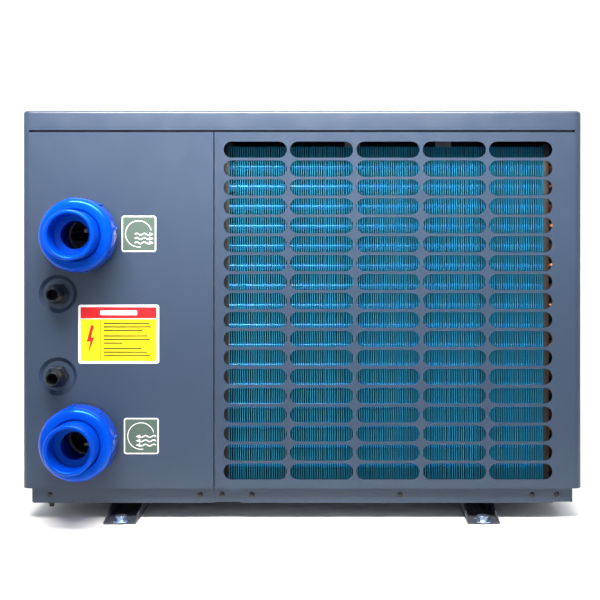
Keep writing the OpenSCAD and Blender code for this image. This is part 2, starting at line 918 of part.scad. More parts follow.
// Half-circle bend between two tubes, a brazed joint away from them.
// The side is -1 at the left end and 1 at the right end.
module return_bend(side, y1, z1, y2, z2) {
    lean = atan2(y1 - y2, z2 - z1);
    x = bend_x[side > 0 ? 1 : 0] + side * braze_gap;
    translate([x, (y1 + y2) / 2, (z1 + z2) / 2]) rotate([lean, 0, 0])
        rotate([-90 * side, -90, 0]) rotate_extrude(angle = 180)
            translate([norm([y2 - y1, z2 - z1]) / 2, 0]) circle(tube_r);
}

// One serpentine row of tubes, joined in pairs at the right and left ends in turn
module tube_row(y, top_z) {
    for (i = [0:row_tubes - 1]) {
        z = top_z - i * tube_pitch;
        start = i == 0 ? stub_x : bend_x[0];
        bar_x(start, y, z, tube_r, bend_x[1] - start);
        if (i < row_tubes - 1) return_bend(i % 2 == 0 ? 1 : -1, y, z, y, z - tube_pitch);
    }
}

module coil_tubes() {
    last = (row_tubes - 1) * tube_pitch;
    color(copper) {
        tube_row(near_row_y, near_row_z);
        tube_row(far_row_y, far_row_z);
        return_bend(-1, near_row_y, near_row_z - last, far_row_y, far_row_z - last);
    }
}

module coil_end_plates() {
    color(galvanised) for (x = end_plate_x) difference() {
        block([x, coil_y - 2, coil_z0 - 3], [x + end_plate_t, coil_y + coil_d + 1, coil_z1 + 3]);
        for (i = [0:row_tubes - 1]) {
            bar_x(x - 1, near_row_y, near_row_z - i * tube_pitch, tube_r + 0.15, 4);
            bar_x(x - 1, far_row_y, far_row_z - i * tube_pitch, tube_r + 0.15, 4);
        }
    }
}

// ---------- Refrigerant circuit ----------

module compressor() {
    dome = 26;
    color(rubber_black) {
        translate([comp_x, comp_y, 0]) rotate_extrude() polygon(concat(
            [[0, comp_z + 4], [comp_r * 0.6, comp_z + 4]],
            [for (a = [-60:15:0]) [comp_r * (0.2 + 0.8 * cos(a)), comp_z + 4 + dome + dome * sin(a) * 0.9]],
            [for (a = [0:15:75]) [comp_r * (0.2 + 0.8 * cos(a)), comp_top - dome + dome * sin(a)]],
            [[10, comp_top], [10, comp_top + 10], [0, comp_top + 10]]));
        difference() {
            translate([comp_x, comp_y, comp_z]) {
                cylinder(r = comp_r - 8, h = 4);
                for (a = lug_angles) rotate([0, 0, a]) {
                    translate([0, -12, 0]) cube([lug_r, 24, 4]);
                    translate([lug_r, 0, 0]) cylinder(r = 12, h = 4);
                }
            }
            for (a = lug_angles)
                translate([comp_x + lug_r * cos(a), comp_y + lug_r * sin(a), 0])
                    cylinder(r = 4.6, h = comp_top);
        }
    }
}

// Places of the compressor's three mountings
module at_lugs() {
    for (a = lug_angles)
        translate([comp_x + lug_r * cos(a), comp_y + lug_r * sin(a), tray_floor]) children();
}

module compressor_grommets() {
    color(rubber_black) at_lugs() difference() {
        cylinder(r = 11, h = comp_z - tray_floor);
        translate([0, 0, -1]) cylinder(r = 4.4, h = comp_z);
    }
}

module compressor_bolts() {
    color(zinc) at_lugs() {
        translate([0, 0, -tray_t]) cylinder(r = 4, h = 30);
        translate([0, 0, comp_z + 4 - tray_floor]) cylinder(r = 8, h = 1.6);
        translate([0, 0, comp_z + 5.6 - tray_floor]) cylinder(r = 7.5, h = 6.5, $fn = 6);
    }
}

// Suction accumulator with its elbow into the compressor
module accumulator() {
    color(rubber_black) {
        translate([acc_x, comp_y, 0]) rotate_extrude() polygon([
            [0, 120], [8, 120], [acc_r, 135], [acc_r, 240], [8, 255], [8, 262], [0, 262]]);
        pipe(rounded_route([
            [acc_x, comp_y, 121], [acc_x, comp_y, 92], [comp_x - comp_r - 0.2, comp_y, 92]], 14),
             6, [0, 1, 0]);
    }
}

// Slide valve that swaps the direction of the refrigerant
module reversing_valve() {
    color("peru") {
        bar_x(valve_x - 55, comp_y, valve_z, valve_r, 110);
        translate([valve_x, comp_y, valve_z]) cylinder(r = 6, h = 20);
        for (dx = [-30, 0, 30])
            translate([valve_x + dx, comp_y, valve_z - 20]) cylinder(r = 7.5, h = 20);
        block([valve_x - 20, comp_y + 10, valve_z - 12], [valve_x + 20, comp_y + 38, valve_z + 12]);
    }
}

module discharge_pipe() {
    color(copper) pipe(rounded_route([
        [comp_x, comp_y, comp_top + 10], [comp_x, comp_y, 318], [comp_x + 15, comp_y + 48, 318],
        [comp_x + 15, comp_y + 48, 402], [valve_x, comp_y + 48, 402], [valve_x, comp_y, 402],
        [valve_x, comp_y, valve_z + 20]], 9), 5, [1, 0, 0]);
}

module suction_pipe() {
    color(copper) pipe(rounded_route([
        [acc_x, comp_y, 262], [acc_x, comp_y, 322], [valve_x, comp_y, 322],
        [valve_x, comp_y, valve_z - 20]], 14), 7, [0, 1, 0]);
}

module gas_pipe() {
    x = union_x + port_a[0];
    y = shell_y + port_a[1];
    color(copper) pipe(rounded_route([
        [valve_x - 30, comp_y, valve_z - 20], [valve_x - 30, comp_y, 340], [valve_x - 30, 60, 340],
        [-205, 60, 340], [-205, y, 340], [-205, y, 432], [x, y, 432], [x, y, lid_top + 6]], 8), 5, [1, 0, 0]);
}

module vapour_pipe() {
    color(copper) pipe(rounded_route([
        [valve_x + 30, comp_y, valve_z - 20], [valve_x + 30, comp_y, 336], [valve_x + 30, far_row_y, 336],
        [-140, far_row_y, 336], [-140, far_row_y, far_row_z], [stub_x, far_row_y, far_row_z]], 8),
        5, [1, 0, 0]);
}

module liquid_pipe() {
    color(copper) pipe(rounded_route([
        [union_x, shell_y, lid_top + 6], [union_x, shell_y, near_row_z], [union_x, near_row_y, near_row_z],
        [stub_x, near_row_y, near_row_z]], 10), 4.5, [1, 0, 0]);
}

// ---------- Water heat exchanger ----------

// Upright vessel with two side ports to the unions
module exchanger_shell() {
    color([0.85, 0.86, 0.88]) difference() {
        union() {
            translate([union_x, shell_y, shell_z]) cylinder(r = shell_r, h = shell_top - shell_z);
            translate([union_x, shell_y, shell_top - 8]) cylinder(r = lid_r, h = 8);
            for (z = [lower_union_z, upper_union_z])
                bar_y(union_x, rear_y + 11, z, barrel_r, 25);
            for (a = [30, 150, 270])
                translate([union_x + 44 * cos(a), shell_y + 44 * sin(a), tray_floor])
                    cylinder(r = 8, h = shell_z - tray_floor + 1);
        }
        translate([union_x, shell_y, shell_z + 8]) cylinder(r = shell_in_r, h = shell_top);
        for (z = [lower_union_z, upper_union_z])
            bar_y(union_x, rear_y, z, water_bore_r, 40);
    }
}

module exchanger_lid() {
    color([0.85, 0.86, 0.88]) translate([union_x, shell_y, shell_top]) difference() {
        cylinder(r = lid_r, h = lid_h);
        translate([0, 0, -1]) cylinder(r = helix_bore + 0.4, h = lid_h + 2);
        translate([port_a[0], port_a[1], -1]) cylinder(r = helix_bore + 0.4, h = lid_h + 2);
    }
}

// Titanium tube wound down the vessel, with its return up the middle
module exchanger_coil() {
    top = 368;
    bottom = 82;
    steps = round(helix_turns * 16);
    turns = [for (i = [0:steps]) let (a = -30 - 360 * helix_turns * i / steps)
        [union_x + helix_r * cos(a), shell_y + helix_r * sin(a), top - (top - bottom) * i / steps]];
    color([0.6, 0.6, 0.62]) pipe(concat(
        [[union_x + port_a[0], shell_y + port_a[1], lid_top + 6],
         [union_x + port_a[0], shell_y + port_a[1], top + 6]],
        turns,
        [[union_x, shell_y, bottom], [union_x, shell_y, bottom + 8], [union_x, shell_y, lid_top + 6]]),
        helix_bore, [1, 0, 0], 8);
}

// ---------- Electrics ----------

// Open-topped steel box under the cover, over the compressor side
module electrical_box() {
    color(galvanised) difference() {
        block([-312, -25, box_z], [-112, 158, 480]);
        block([-311, -24, box_z + 1], [-113, 157, 481]);
    }
}

// Circuit board with its relays, capacitor and terminal strip
module main_board() {
    z = box_z + 7;
    color([0.05, 0.35, 0.15]) {
        block([-300, -10, z], [-150, 120, z + 1.6]);
        for (x = [-290, -160], y = [0, 110]) translate([x, y, box_z + 1]) cylinder(r = 4, h = 7);
        for (i = [0:3]) block([-290 + 30 * i, 85, z + 1], [-268 + 30 * i, 112, z + 18]);
        for (i = [0:5]) block([-290 + 14 * i, -5, z + 1], [-278 + 14 * i, 12, z + 16]);
        translate([-175, 60, z + 1]) cylinder(r = 18, h = 36);
        block([-285, 25, z + 1], [-225, 70, z + 24]);
    }
}

base_tray();
left_foot();
right_foot();
foot_bolts();
bonding_stud();
top_cover();
service_panel();
grille_panel();
front_panel();
fan_guard();
bell_mouth();
partition_panel();
left_handle();
right_handle();
casing_screws();
labels();
upper_union_body();
upper_union_nut();
upper_union_tail();
lower_union_body();
lower_union_nut();
lower_union_tail();
union_orings();
upper_gland_body();
upper_gland_seal();
upper_gland_cap();
lower_gland_body();
lower_gland_seal();
lower_gland_cap();
gland_locknuts();
controller_bezel();
display_window();
power_button();
mode_button();
up_button();
down_button();
motor_bracket();
fan_motor();
motor_shaft();
fan_blade();
fan_nut();
coil_fins();
coil_tubes();
coil_end_plates();
compressor();
compressor_grommets();
compressor_bolts();
accumulator();
reversing_valve();
discharge_pipe();
suction_pipe();
gas_pipe();
vapour_pipe();
liquid_pipe();
exchanger_shell();
exchanger_lid();
exchanger_coil();
electrical_box();
main_board();
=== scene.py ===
# %% [markdown]
# # The looks of a pool heat pump unit
# The design comes in as a fixed frame: every part is already the right size and in its place.
# This lesson gives each visible part its finish, and swaps the plainest parts for better meshes.

# %% Load the frame
import json
import math

import bmesh
import bpy
from mathutils import Matrix, Vector


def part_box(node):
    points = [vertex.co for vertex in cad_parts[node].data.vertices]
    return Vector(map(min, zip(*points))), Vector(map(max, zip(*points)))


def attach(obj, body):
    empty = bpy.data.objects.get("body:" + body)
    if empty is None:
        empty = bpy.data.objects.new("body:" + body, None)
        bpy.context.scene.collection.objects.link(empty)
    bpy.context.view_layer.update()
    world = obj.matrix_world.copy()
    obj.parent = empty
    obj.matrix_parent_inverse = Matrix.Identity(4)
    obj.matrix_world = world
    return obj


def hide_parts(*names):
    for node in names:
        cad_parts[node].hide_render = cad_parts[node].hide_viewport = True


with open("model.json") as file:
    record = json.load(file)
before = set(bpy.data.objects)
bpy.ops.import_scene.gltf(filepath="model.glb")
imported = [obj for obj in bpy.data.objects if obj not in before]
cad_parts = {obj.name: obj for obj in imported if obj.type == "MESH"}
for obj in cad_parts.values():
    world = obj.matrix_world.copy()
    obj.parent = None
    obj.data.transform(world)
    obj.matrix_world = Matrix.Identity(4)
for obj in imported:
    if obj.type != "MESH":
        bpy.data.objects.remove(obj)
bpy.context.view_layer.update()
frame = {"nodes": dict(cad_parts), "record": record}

MM = 0.001

# %% [markdown]
# ## Planes that everything is measured from
# The rear panel's outer face is the datum of the unit, so it is read once from the frame.
# Distances "out" from it run towards -Y, the way the unions and glands stick out.

# %% Datum planes
cover_low, cover_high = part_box("top_cover")
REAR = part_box("service_panel")[0].y
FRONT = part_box("front_panel")[1].y
LEFT = cover_low.x
RIGHT = cover_high.x
print("rear plane", round(REAR, 4), "front plane", round(FRONT, 4))

# %% [markdown]
# ## A recipe for surfaces
# No real surface is one even colour. Paint has orange peel, plastic has a moulded grain and metal
# has a faint cloudiness. One recipe makes them all: a broad noise varies the colour, a second one
# varies the roughness, and a fine one is the grain that the bump node reads.
# Patterns read Object coordinates, so that they are in metres and stay with the part.

# %% Surface recipe
def linear(*rgb):
    """Turns 0-255 screen colours into the linear values that shaders use."""
    shares = [v / 255 for v in rgb]
    return tuple(((v + 0.055) / 1.055) ** 2.4 if v > 0.04 else v / 12.92 for v in shares)


def noise(nodes, links, place, scale, detail=2.0, rough=0.5):
    """Adds a noise texture at a place and returns its value."""
    texture = nodes.new("ShaderNodeTexNoise")
    texture.inputs["Scale"].default_value = scale
    texture.inputs["Detail"].default_value = detail
    texture.inputs["Roughness"].default_value = rough
    links.new(place, texture.inputs["Vector"])
    return texture.outputs["Fac"]


def spread(nodes, links, value, low, high):
    """Stretches the middle of a noise value over low to high."""
    ranged = nodes.new("ShaderNodeMapRange")
    ranged.inputs["From Min"].default_value = 0.3
    ranged.inputs["From Max"].default_value = 0.7
    ranged.inputs["To Min"].default_value = low
    ranged.inputs["To Max"].default_value = high
    links.new(value, ranged.inputs["Value"])
    return ranged.outputs["Result"]


def surface(name, colour, rough, metal=0.0, grain=900.0, depth=0.00003, mottle=0.06,
            patch=14.0, coat=0.0, stretch=(1, 1, 1)):
    """A finish with uneven colour, uneven gloss and a fine grain."""
    material = bpy.data.materials.new(name)
    material.use_nodes = True
    nodes, links = material.node_tree.nodes, material.node_tree.links
    shader = nodes["Principled BSDF"]
    shader.inputs["Metallic"].default_value = metal
    shader.inputs["Coat Weight"].default_value = coat
    place = nodes.new("ShaderNodeTexCoord").outputs["Object"]
    mapping = nodes.new("ShaderNodeMapping")
    mapping.inputs["Scale"].default_value = stretch
    links.new(place, mapping.inputs["Vector"])
    place = mapping.outputs["Vector"]
    broad = noise(nodes, links, place, patch, 4.0, 0.6)
    mix = nodes.new("ShaderNodeMix")
    mix.data_type = "RGBA"
    mix.inputs["A"].default_value = (*[c * (1 - mottle) for c in colour], 1)
    mix.inputs["B"].default_value = (*[min(1, c * (1 + mottle)) for c in colour], 1)
    links.new(spread(nodes, links, broad, 0.0, 1.0), mix.inputs["Factor"])
    links.new(mix.outputs["Result"], shader.inputs["Base Color"])
    fine = noise(nodes, links, place, patch * 9, 3.0)
    dull = spread(nodes, links, fine, rough * 0.85, min(1.0, rough * 1.15))
    links.new(dull, shader.inputs["Roughness"])
    bump = nodes.new("ShaderNodeBump")
    bump.inputs["Strength"].default_value = 0.6
    bump.inputs["Distance"].default_value = depth
    links.new(noise(nodes, links, place, grain, 1.0), bump.inputs["Height"])
    links.new(bump.outputs["Normal"], shader.inputs["Normal"])
    return material


def tint_shine(material, colour, level=0.5):
    """Gives the highlights a colour, as deep-dyed gloss plastic and lacquer have."""
    shader = material.node_tree.nodes["Principled BSDF"]
    shader.inputs["Specular Tint"].default_value = (*colour, 1)
    shader.inputs["Specular IOR Level"].default_value = level


# %% [markdown]
# ## Finishes
# The casing is powder-coated sheet: a satin slate blue with a soft orange peel about 1.5 mm across.
# Zinc plating is bluish, galvanised sheet is greyer and duller, and the coil's end plates are dark.
# Colours are written as screen values, because that is how a colour card is read.

# %% Paints and metals
casing_paint = surface("casing_paint", linear(45, 60, 82), 0.33, grain=650, depth=0.00003,
                       mottle=0.035, patch=5)
foot_paint = surface("foot_paint", linear(62, 66, 76), 0.45, grain=500, depth=0.00008)
zinc_plate = surface("zinc_plate", linear(160, 182, 214), 0.26, metal=0.9, grain=1500, depth=0.00002,
                     mottle=0.12, patch=90)
plate_steel = surface("plate_steel", linear(38, 36, 38), 0.6, metal=0.2, grain=400, depth=0.00003,
                      mottle=0.2, patch=50)
# Dark finish for the bonding stud: painted shade, for the shadow the stud sits in.
stud_painted_shade = surface("painted_shade_zinc", linear(64, 56, 54), 0.5, metal=0.6, grain=900, depth=0.00003,
                    mottle=0.3, patch=120)
galvanised = surface("galvanised_sheet", linear(176, 182, 190), 0.38, metal=0.85, grain=200, depth=0.00002,
                     mottle=0.14, patch=70)
black_steel = surface("black_steel", linear(26, 27, 31), 0.28, grain=1400, depth=0.00002, coat=0.3)
steel_shaft = surface("steel_shaft", linear(190, 194, 200), 0.22, metal=1.0, grain=2500, depth=0.00001,
                      stretch=(1, 0.05, 1))
motor_cast = surface("motor_aluminium", linear(92, 95, 102), 0.5, metal=0.7, grain=900, depth=0.0001)
copper = surface("copper_tube", linear(190, 118, 78), 0.34, metal=1.0, grain=700, depth=0.00002,
                 mottle=0.2, patch=40)
titanium = surface("titanium_tube", linear(150, 148, 146), 0.36, metal=1.0, grain=900, depth=0.00002,
                   mottle=0.1)
print("metal finishes", len(bpy.data.materials))

# %% [markdown]
# Plastics differ mostly in gloss. Solvent-weld PVC is moulded smooth and is dyed right through, so its
# highlights look blue too, and they are tinted. Cabinet plastic has a spark-eroded grain, and rubber
# is dull.

# %% Plastics and rubber
blue_pvc = surface("blue_pvc", linear(0, 62, 186), 0.2, grain=260, depth=0.000012, mottle=0.05, patch=30)
tint_shine(blue_pvc, (0.08, 0.45, 1.0), level=0.75)
black_plastic = surface("black_plastic", linear(34, 36, 41), 0.42, grain=1800, depth=0.00005)
gland_nylon = surface("gland_nylon", linear(17, 18, 22), 0.34, grain=700, depth=0.00001)
tint_shine(gland_nylon, (0.5, 0.7, 1.0))
black_rubber = surface("black_rubber", linear(30, 30, 31), 0.75, grain=1100, depth=0.00008)
white_pvc = surface("white_pvc", linear(216, 218, 220), 0.4, grain=500, depth=0.00004)
grey_plastic = surface("grey_plastic", linear(196, 200, 206), 0.42, grain=1600, depth=0.00003)
smoked_window = surface("smoked_window", linear(20, 24, 30), 0.1, grain=300, depth=0.000005, coat=0.5)
circuit_board = surface("circuit_board", linear(24, 92, 50), 0.4, grain=600, depth=0.0001,
                        mottle=0.3, patch=60)
print("metal and plastic finishes", len(bpy.data.materials))

# %% [markdown]
# Fins are aluminium strip with a blue coat that sheds water. The strip is cut after it is coated, so
# the front edge of every fin is bare, and the coat begins just behind it. The pale cyan of that edge is
# partly bare metal and partly a painted highlight, and the coat is painted darker than it is, as painted
# shade in the gaps between the fins. A map range on the Y coordinate makes that change, in the same
# place on every fin.

# %% Fin coat
# The fins' coat colour is painted darker than the real coat, as painted shade in the gaps between the fins;
# the collars carry the same coat in a lighter blue.
fin_blue = surface("fin_aluminium", linear(0, 42, 92), 0.32, metal=0.2, grain=380, depth=0.00008,
                   mottle=0.25, patch=26)
collar_blue = surface("collar_aluminium", linear(0, 70, 140), 0.11, metal=0.1, grain=500, depth=0.00002,
                      mottle=0.15, patch=40)
tint_shine(fin_blue, (0.1, 0.6, 0.9))
tint_shine(collar_blue, (0.3, 0.9, 1.0))


def bare_edge_and_highlight(material, edge_y, depth, colour):
    """Blends a finish to an edge colour over the first bit of depth behind a plane in Y; on the fins that
    colour is bare metal and a painted highlight.
    """
    nodes, links = material.node_tree.nodes, material.node_tree.links
    shader = nodes["Principled BSDF"]
    coat = shader.inputs["Base Color"].links[0].from_socket
    parts = nodes.new("ShaderNodeSeparateXYZ")
    links.new(nodes.new("ShaderNodeTexCoord").outputs["Object"], parts.inputs[0])
    ranged = nodes.new("ShaderNodeMapRange")
    ranged.inputs["From Min"].default_value = edge_y + depth * 0.3
    ranged.inputs["From Max"].default_value = edge_y + depth
    links.new(parts.outputs["Y"], ranged.inputs["Value"])
    mix = nodes.new("ShaderNodeMix")
    mix.data_type = "RGBA"
    mix.inputs["A"].default_value = (*colour, 1)
    links.new(ranged.outputs["Result"], mix.inputs["Factor"])
    links.new(coat, mix.inputs["B"])
    links.new(mix.outputs["Result"], shader.inputs["Base Color"])


fin_low, fin_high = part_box("coil_fins")
# The pale cyan edge colour is partly bare metal and partly a painted highlight on the fin edges.
bare_edge_and_highlight(fin_blue, fin_low.y, 1.3 * MM, linear(60, 170, 215))
print("fins from", round(fin_low.y, 4), "to", round(fin_high.y, 4))

# %% [markdown]
# Screen-printed vinyl has flat, even inks, so these finishes vary very little.

# %% Label inks
vinyl_white = surface("label_vinyl", linear(238, 242, 244), 0.38, grain=900, depth=0.00001, mottle=0.02)
vinyl_green = surface("label_green_grey", linear(74, 92, 84), 0.36, grain=900, depth=0.00001, mottle=0.05)
vinyl_yellow = surface("label_yellow", linear(250, 232, 10), 0.36, grain=900, depth=0.00001, mottle=0.03)
vinyl_red = surface("label_red", linear(222, 22, 30), 0.36, grain=900, depth=0.00001, mottle=0.03)
vinyl_ink = surface("label_ink", linear(84, 72, 20), 0.4, grain=900, depth=0.00001, mottle=0.05)
print("all finishes", len(bpy.data.materials))

# %% [markdown]
# ## Paint the parts whose CAD shape is already right
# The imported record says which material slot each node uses, so one table turns slot into finish.

# %% Finish for each slot
FINISH = {
    "casing_paint": casing_paint, "foot_paint": foot_paint, "zinc_plate": zinc_plate,
    "galvanised_sheet": galvanised, "black_plastic": black_plastic, "black_steel": black_steel,
    "black_rubber": black_rubber, "blue_pvc": blue_pvc, "label_vinyl": vinyl_white,
    "smoked_window": smoked_window, "grey_plastic": grey_plastic, "fin_aluminium": fin_blue,
    "copper_tube": copper, "motor_aluminium": motor_cast, "steel_shaft": steel_shaft,
    "white_pvc": white_pvc, "titanium_tube": titanium, "circuit_board": circuit_board,
}
SLOT_OF = {part["node"]: part["material_slot"] for part in frame["record"]["subparts"]}
BODY_OF = {node: body for body, nodes in frame["record"]["behaviour"]["bodies"].items() for node in nodes}
for node, part in frame["nodes"].items():
    part.data.materials.clear()
    part.data.materials.append(FINISH[SLOT_OF[node]])
print("painted", len(frame["nodes"]), "nodes")

# %% [markdown]
# ## Helpers for new meshes
# A new piece stands for one CAD node: it rides on that node's body and, unless another finish is given,
# wears the finish of that node's material slot.
# Shading is smooth except across real edges, which `set_sharp_from_angle` finds.
# Corners closer together than WELD are made into one.

# %% Mesh to piece
WELD = 0.000002


def add_piece(name, mesh, node, *more_nodes, finish=None):
    """Makes the mesh the visible piece for a node, riding on that node's body."""
    piece = bpy.data.objects.new(name, mesh)
    bpy.context.collection.objects.link(piece)
    if not mesh.materials:
        mesh.materials.append(finish or FINISH[SLOT_OF[node]])
    mesh.shade_smooth()
    mesh.set_sharp_from_angle(angle=math.radians(32))
    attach(piece, BODY_OF[node])
    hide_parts(node, *more_nodes)
    print(name, len(mesh.polygons), "faces")
    return piece


def plain(bm, name):
    """Turns a bmesh into a mesh as it is, and frees it."""
    mesh = bpy.data.meshes.new(name)
    bm.to_mesh(mesh)
    bm.free()
    return mesh


def finished(bm, name):
    """Merges doubles, turns faces outwards and returns the mesh."""
    bmesh.ops.remove_doubles(bm, verts=bm.verts, dist=WELD)
    bmesh.ops.recalc_face_normals(bm, faces=bm.faces)
    return plain(bm, name)


def welded(node):
    """A bmesh of a CAD node, its loose triangles joined at their corners."""
    bm = bmesh.new()
    bm.from_mesh(frame["nodes"][node].data)
    bmesh.ops.remove_doubles(bm, verts=bm.verts, dist=WELD)
    return bm


# %% [markdown]
# Modifiers and node trees are recipes. `baked` runs the recipe once and keeps the plain mesh.

# %% Bake a recipe
def baked(carrier):
    """Evaluates an object's modifiers into a plain mesh and removes the object."""
    graph = bpy.context.evaluated_depsgraph_get()
    mesh = bpy.data.meshes.new_from_object(carrier.evaluated_get(graph))
    bpy.data.objects.remove(carrier)
    return mesh


# %% [markdown]
# Some nodes hold many separate solids, such as all the screws or all the fins. `islands` walks along
# the edges from corner to corner, and gives the box of each solid it finds.

# %% Separate solids
def islands(node):
    """The lowest and highest corners of every separate solid in a node."""
    bm = welded(node)
    found, seen = [], set()
    for start in bm.verts:
        if start.index in seen:
            continue
        seen.add(start.index)
        group, queue = [], [start]
        while queue:
            vert = queue.pop()
            group.append(vert.co.copy())
            for edge in vert.link_edges:
                other = edge.other_vert(vert)
                if other.index not in seen:
                    seen.add(other.index)
                    queue.append(other)
        found.append((Vector(map(min, *group)), Vector(map(max, *group))))
    bm.free()
    return found


# %% [markdown]
# A CAD mesh has knife-sharp edges, and real ones catch the light. `softened` copies a node,
# merges its loose triangles, joins the flat ones into whole faces and bevels what is left.

# %% Softened copies
def softened(node, width):
    """Replaces a node by a copy with its sharp edges bevelled."""
    bm = welded(node)
    bmesh.ops.dissolve_limit(bm, angle_limit=math.radians(1), verts=bm.verts, edges=bm.edges)
    mesh = plain(bm, node)
    mesh.materials.append(FINISH[SLOT_OF[node]])
    carrier = bpy.data.objects.new("carrier", mesh)
    bpy.context.collection.objects.link(carrier)
    bevel = carrier.modifiers.new("edge", "BEVEL")
    bevel.width = width
    bevel.segments = 2
    bevel.limit_method = "ANGLE"
    bevel.angle_limit = math.radians(40)
    return add_piece(node + "_soft", baked(carrier), node)


# %% [markdown]
# A node tree runs as a modifier too. `grown` feeds it by each socket's identifier, because names can
# repeat, and bakes the result.

# %% Bake a node tree
def grown(base, tree, sizes):
    """Runs a Geometry Nodes tree on a base mesh with the given sizes."""
    carrier = bpy.data.objects.new("carrier", base)
    bpy.context.collection.objects.link(carrier)
    modifier = carrier.modifiers.new("grow", "NODES")
    modifier.node_group = tree
    sockets = {item.name: item.identifier for item in tree.interface.items_tree if item.in_out == "INPUT"}
    for label, value in sizes.items():
        modifier[sockets[label]] = value
    return baked(carrier)


# %% [markdown]
# ## Two small node trees
# Most repeats on this unit are of two kinds: things in a straight row and things round an axis.
# Each tree takes one finished shape as its geometry and repeats it, so the same two trees make
# fins, tube collars, nut ribs, cap flutes and fan blades.

# %% Tree builder
def start_tree(name, sizes):
    """A tree with a geometry input and output and one named input for each size."""
    tree = bpy.data.node_groups.new(name, "GeometryNodeTree")
    tree.interface.new_socket("Shape", in_out="INPUT", socket_type="NodeSocketGeometry")
    tree.interface.new_socket("Result", in_out="OUTPUT", socket_type="NodeSocketGeometry")
    for label, value in sizes.items():
        kind = "NodeSocketInt" if isinstance(value, int) else "NodeSocketFloat"
        tree.interface.new_socket(label, in_out="INPUT", socket_type=kind).default_value = value
    return tree, tree.nodes.new("NodeGroupInput").outputs, tree.nodes.new("NodeGroupOutput").inputs


def plug(tree, feed, socket):
    """Links a feed that is a socket, or sets one that is a value."""
    if isinstance(feed, bpy.types.NodeSocket):
        tree.links.new(feed, socket)
    else:
        socket.default_value = feed


def node_in(tree, kind, **feeds):
    """Adds a node and its feeds by name. Underscores stand for spaces."""
    node = tree.nodes.new(kind)
    for label, feed in feeds.items():
        plug(tree, feed, node.inputs[label.replace("_", " ")])
    return node


def sum_in(tree, operation, first, second):
    """Adds one math node and returns its answer."""
    node = tree.nodes.new("ShaderNodeMath")
    node.operation = operation
    plug(tree, first, node.inputs[0])
    plug(tree, second, node.inputs[1])
    return node.outputs[0]


def give_or_take(tree, limit, seed):
    """A random value for each copy, anywhere from minus the limit to plus the limit."""
    value = node_in(tree, "FunctionNodeRandomValue", Seed=seed)
    plug(tree, sum_in(tree, "MULTIPLY", limit, -1.0), value.inputs[2])
    plug(tree, limit, value.inputs[3])
    return value.outputs[1]


def finish_tree(tree, instances, material, result):
    """Makes the copies real, gives them their material and sends them out."""
    real = node_in(tree, "GeometryNodeRealizeInstances", Geometry=instances)
    paint = node_in(tree, "GeometryNodeSetMaterial", Geometry=real.outputs[0], Material=material)
    tree.links.new(paint.outputs[0], result["Result"])
    print("tree", tree.name, len(tree.nodes), "nodes")


# %% [markdown]
# The row tree sets points along X with Mesh Line, and puts one copy of the shape on each. Two Random
# Value nodes with a fixed seed turn and shift every copy a little, the same way on each run.

# %% Row tree
def row_tree(name, material):
    """Repeats a shape along X, each copy turned and shifted a little at random."""
    sizes = {"Count": 10, "Pitch": 0.003, "Lean": 0.0, "Shift": 0.0, "Seed": 7}
    tree, given, result = start_tree(name, sizes)
    step = node_in(tree, "ShaderNodeCombineXYZ", X=given["Pitch"])
    line = node_in(tree, "GeometryNodeMeshLine", Count=given["Count"], Offset=step.outputs[0])
    aside = node_in(tree, "ShaderNodeCombineXYZ", X=give_or_take(tree, given["Shift"], given["Seed"]))
    points = node_in(tree, "GeometryNodeSetPosition", Geometry=line.outputs[0], Offset=aside.outputs[0])
    turn = node_in(tree, "ShaderNodeCombineXYZ", Z=give_or_take(tree, given["Lean"], given["Seed"]))
    copies = node_in(tree, "GeometryNodeInstanceOnPoints", Points=points.outputs[0],
                     Instance=given["Shape"], Rotation=turn.outputs[0])
    finish_tree(tree, copies.outputs[0], material, result)
    return tree


# %% [markdown]
# The ring tree puts all its points on the axis, and turns copy number i by i parts of a full circle.
# The shape is modelled at its own radius, so turning it is enough.

# %% Ring tree
def ring_tree(name, material):
    """Repeats a shape round the Y axis."""
    tree, given, result = start_tree(name, {"Count": 8})
    line = node_in(tree, "GeometryNodeMeshLine", Count=given["Count"])
    line.inputs["Offset"].default_value = (0, 0, 0)
    part = sum_in(tree, "DIVIDE", 2 * math.pi, given["Count"])
    index = tree.nodes.new("GeometryNodeInputIndex").outputs[0]
    turn = node_in(tree, "ShaderNodeCombineXYZ", Y=sum_in(tree, "MULTIPLY", index, part))
    copies = node_in(tree, "GeometryNodeInstanceOnPoints", Points=line.outputs[0],
                     Instance=given["Shape"], Rotation=turn.outputs[0])
    finish_tree(tree, copies.outputs[0], material, result)
    return tree


# %% [markdown]
# ## Turned shapes
# Unions, glands and buttons are all round about an axis that leaves the rear or front panel.
# An outline of (radius, distance out) is eased at its corners, as a moulded edge is, and spun.
# Blocks and thin closed sheets are the other two shapes that come up again and again.

# %% Turned shapes, blocks and sheets
def eased(outline, radius, steps=3):
    """Rounds the corners of a closed outline with short curves."""
    points = []
    for i, corner in enumerate(outline):
        here = Vector(corner)
        before = Vector(outline[i - 1]) - here
        after = Vector(outline[(i + 1) % len(outline)]) - here
        if here.x < 1e-7:
            points.append(here)
            continue
        reach = min(radius, 0.45 * before.length, 0.45 * after.length)
        start = here + before.normalized() * reach
        end = here + after.normalized() * reach
        for k in range(steps + 1):
            t = k / steps
            points.append((1 - t) ** 2 * start + 2 * t * (1 - t) * here + t * t * end)
    return points


def turned(bm, outline, x, z, face, out=-1, steps=96):
    """Spins an outline about the axis through (x, z); distances out are measured from face."""
    rings = []
    for i in range(steps):
        a = 2 * math.pi * i / steps
        ring = [bm.verts.new((x + r * math.cos(a), face + out * s, z + r * math.sin(a))) for r, s in outline]
        rings.append(ring)
    for i in range(steps):
        here, there = rings[i], rings[(i + 1) % steps]
        for k in range(len(outline)):
            n = (k + 1) % len(outline)
            bm.faces.new((here[k], here[n], there[n], there[k]))


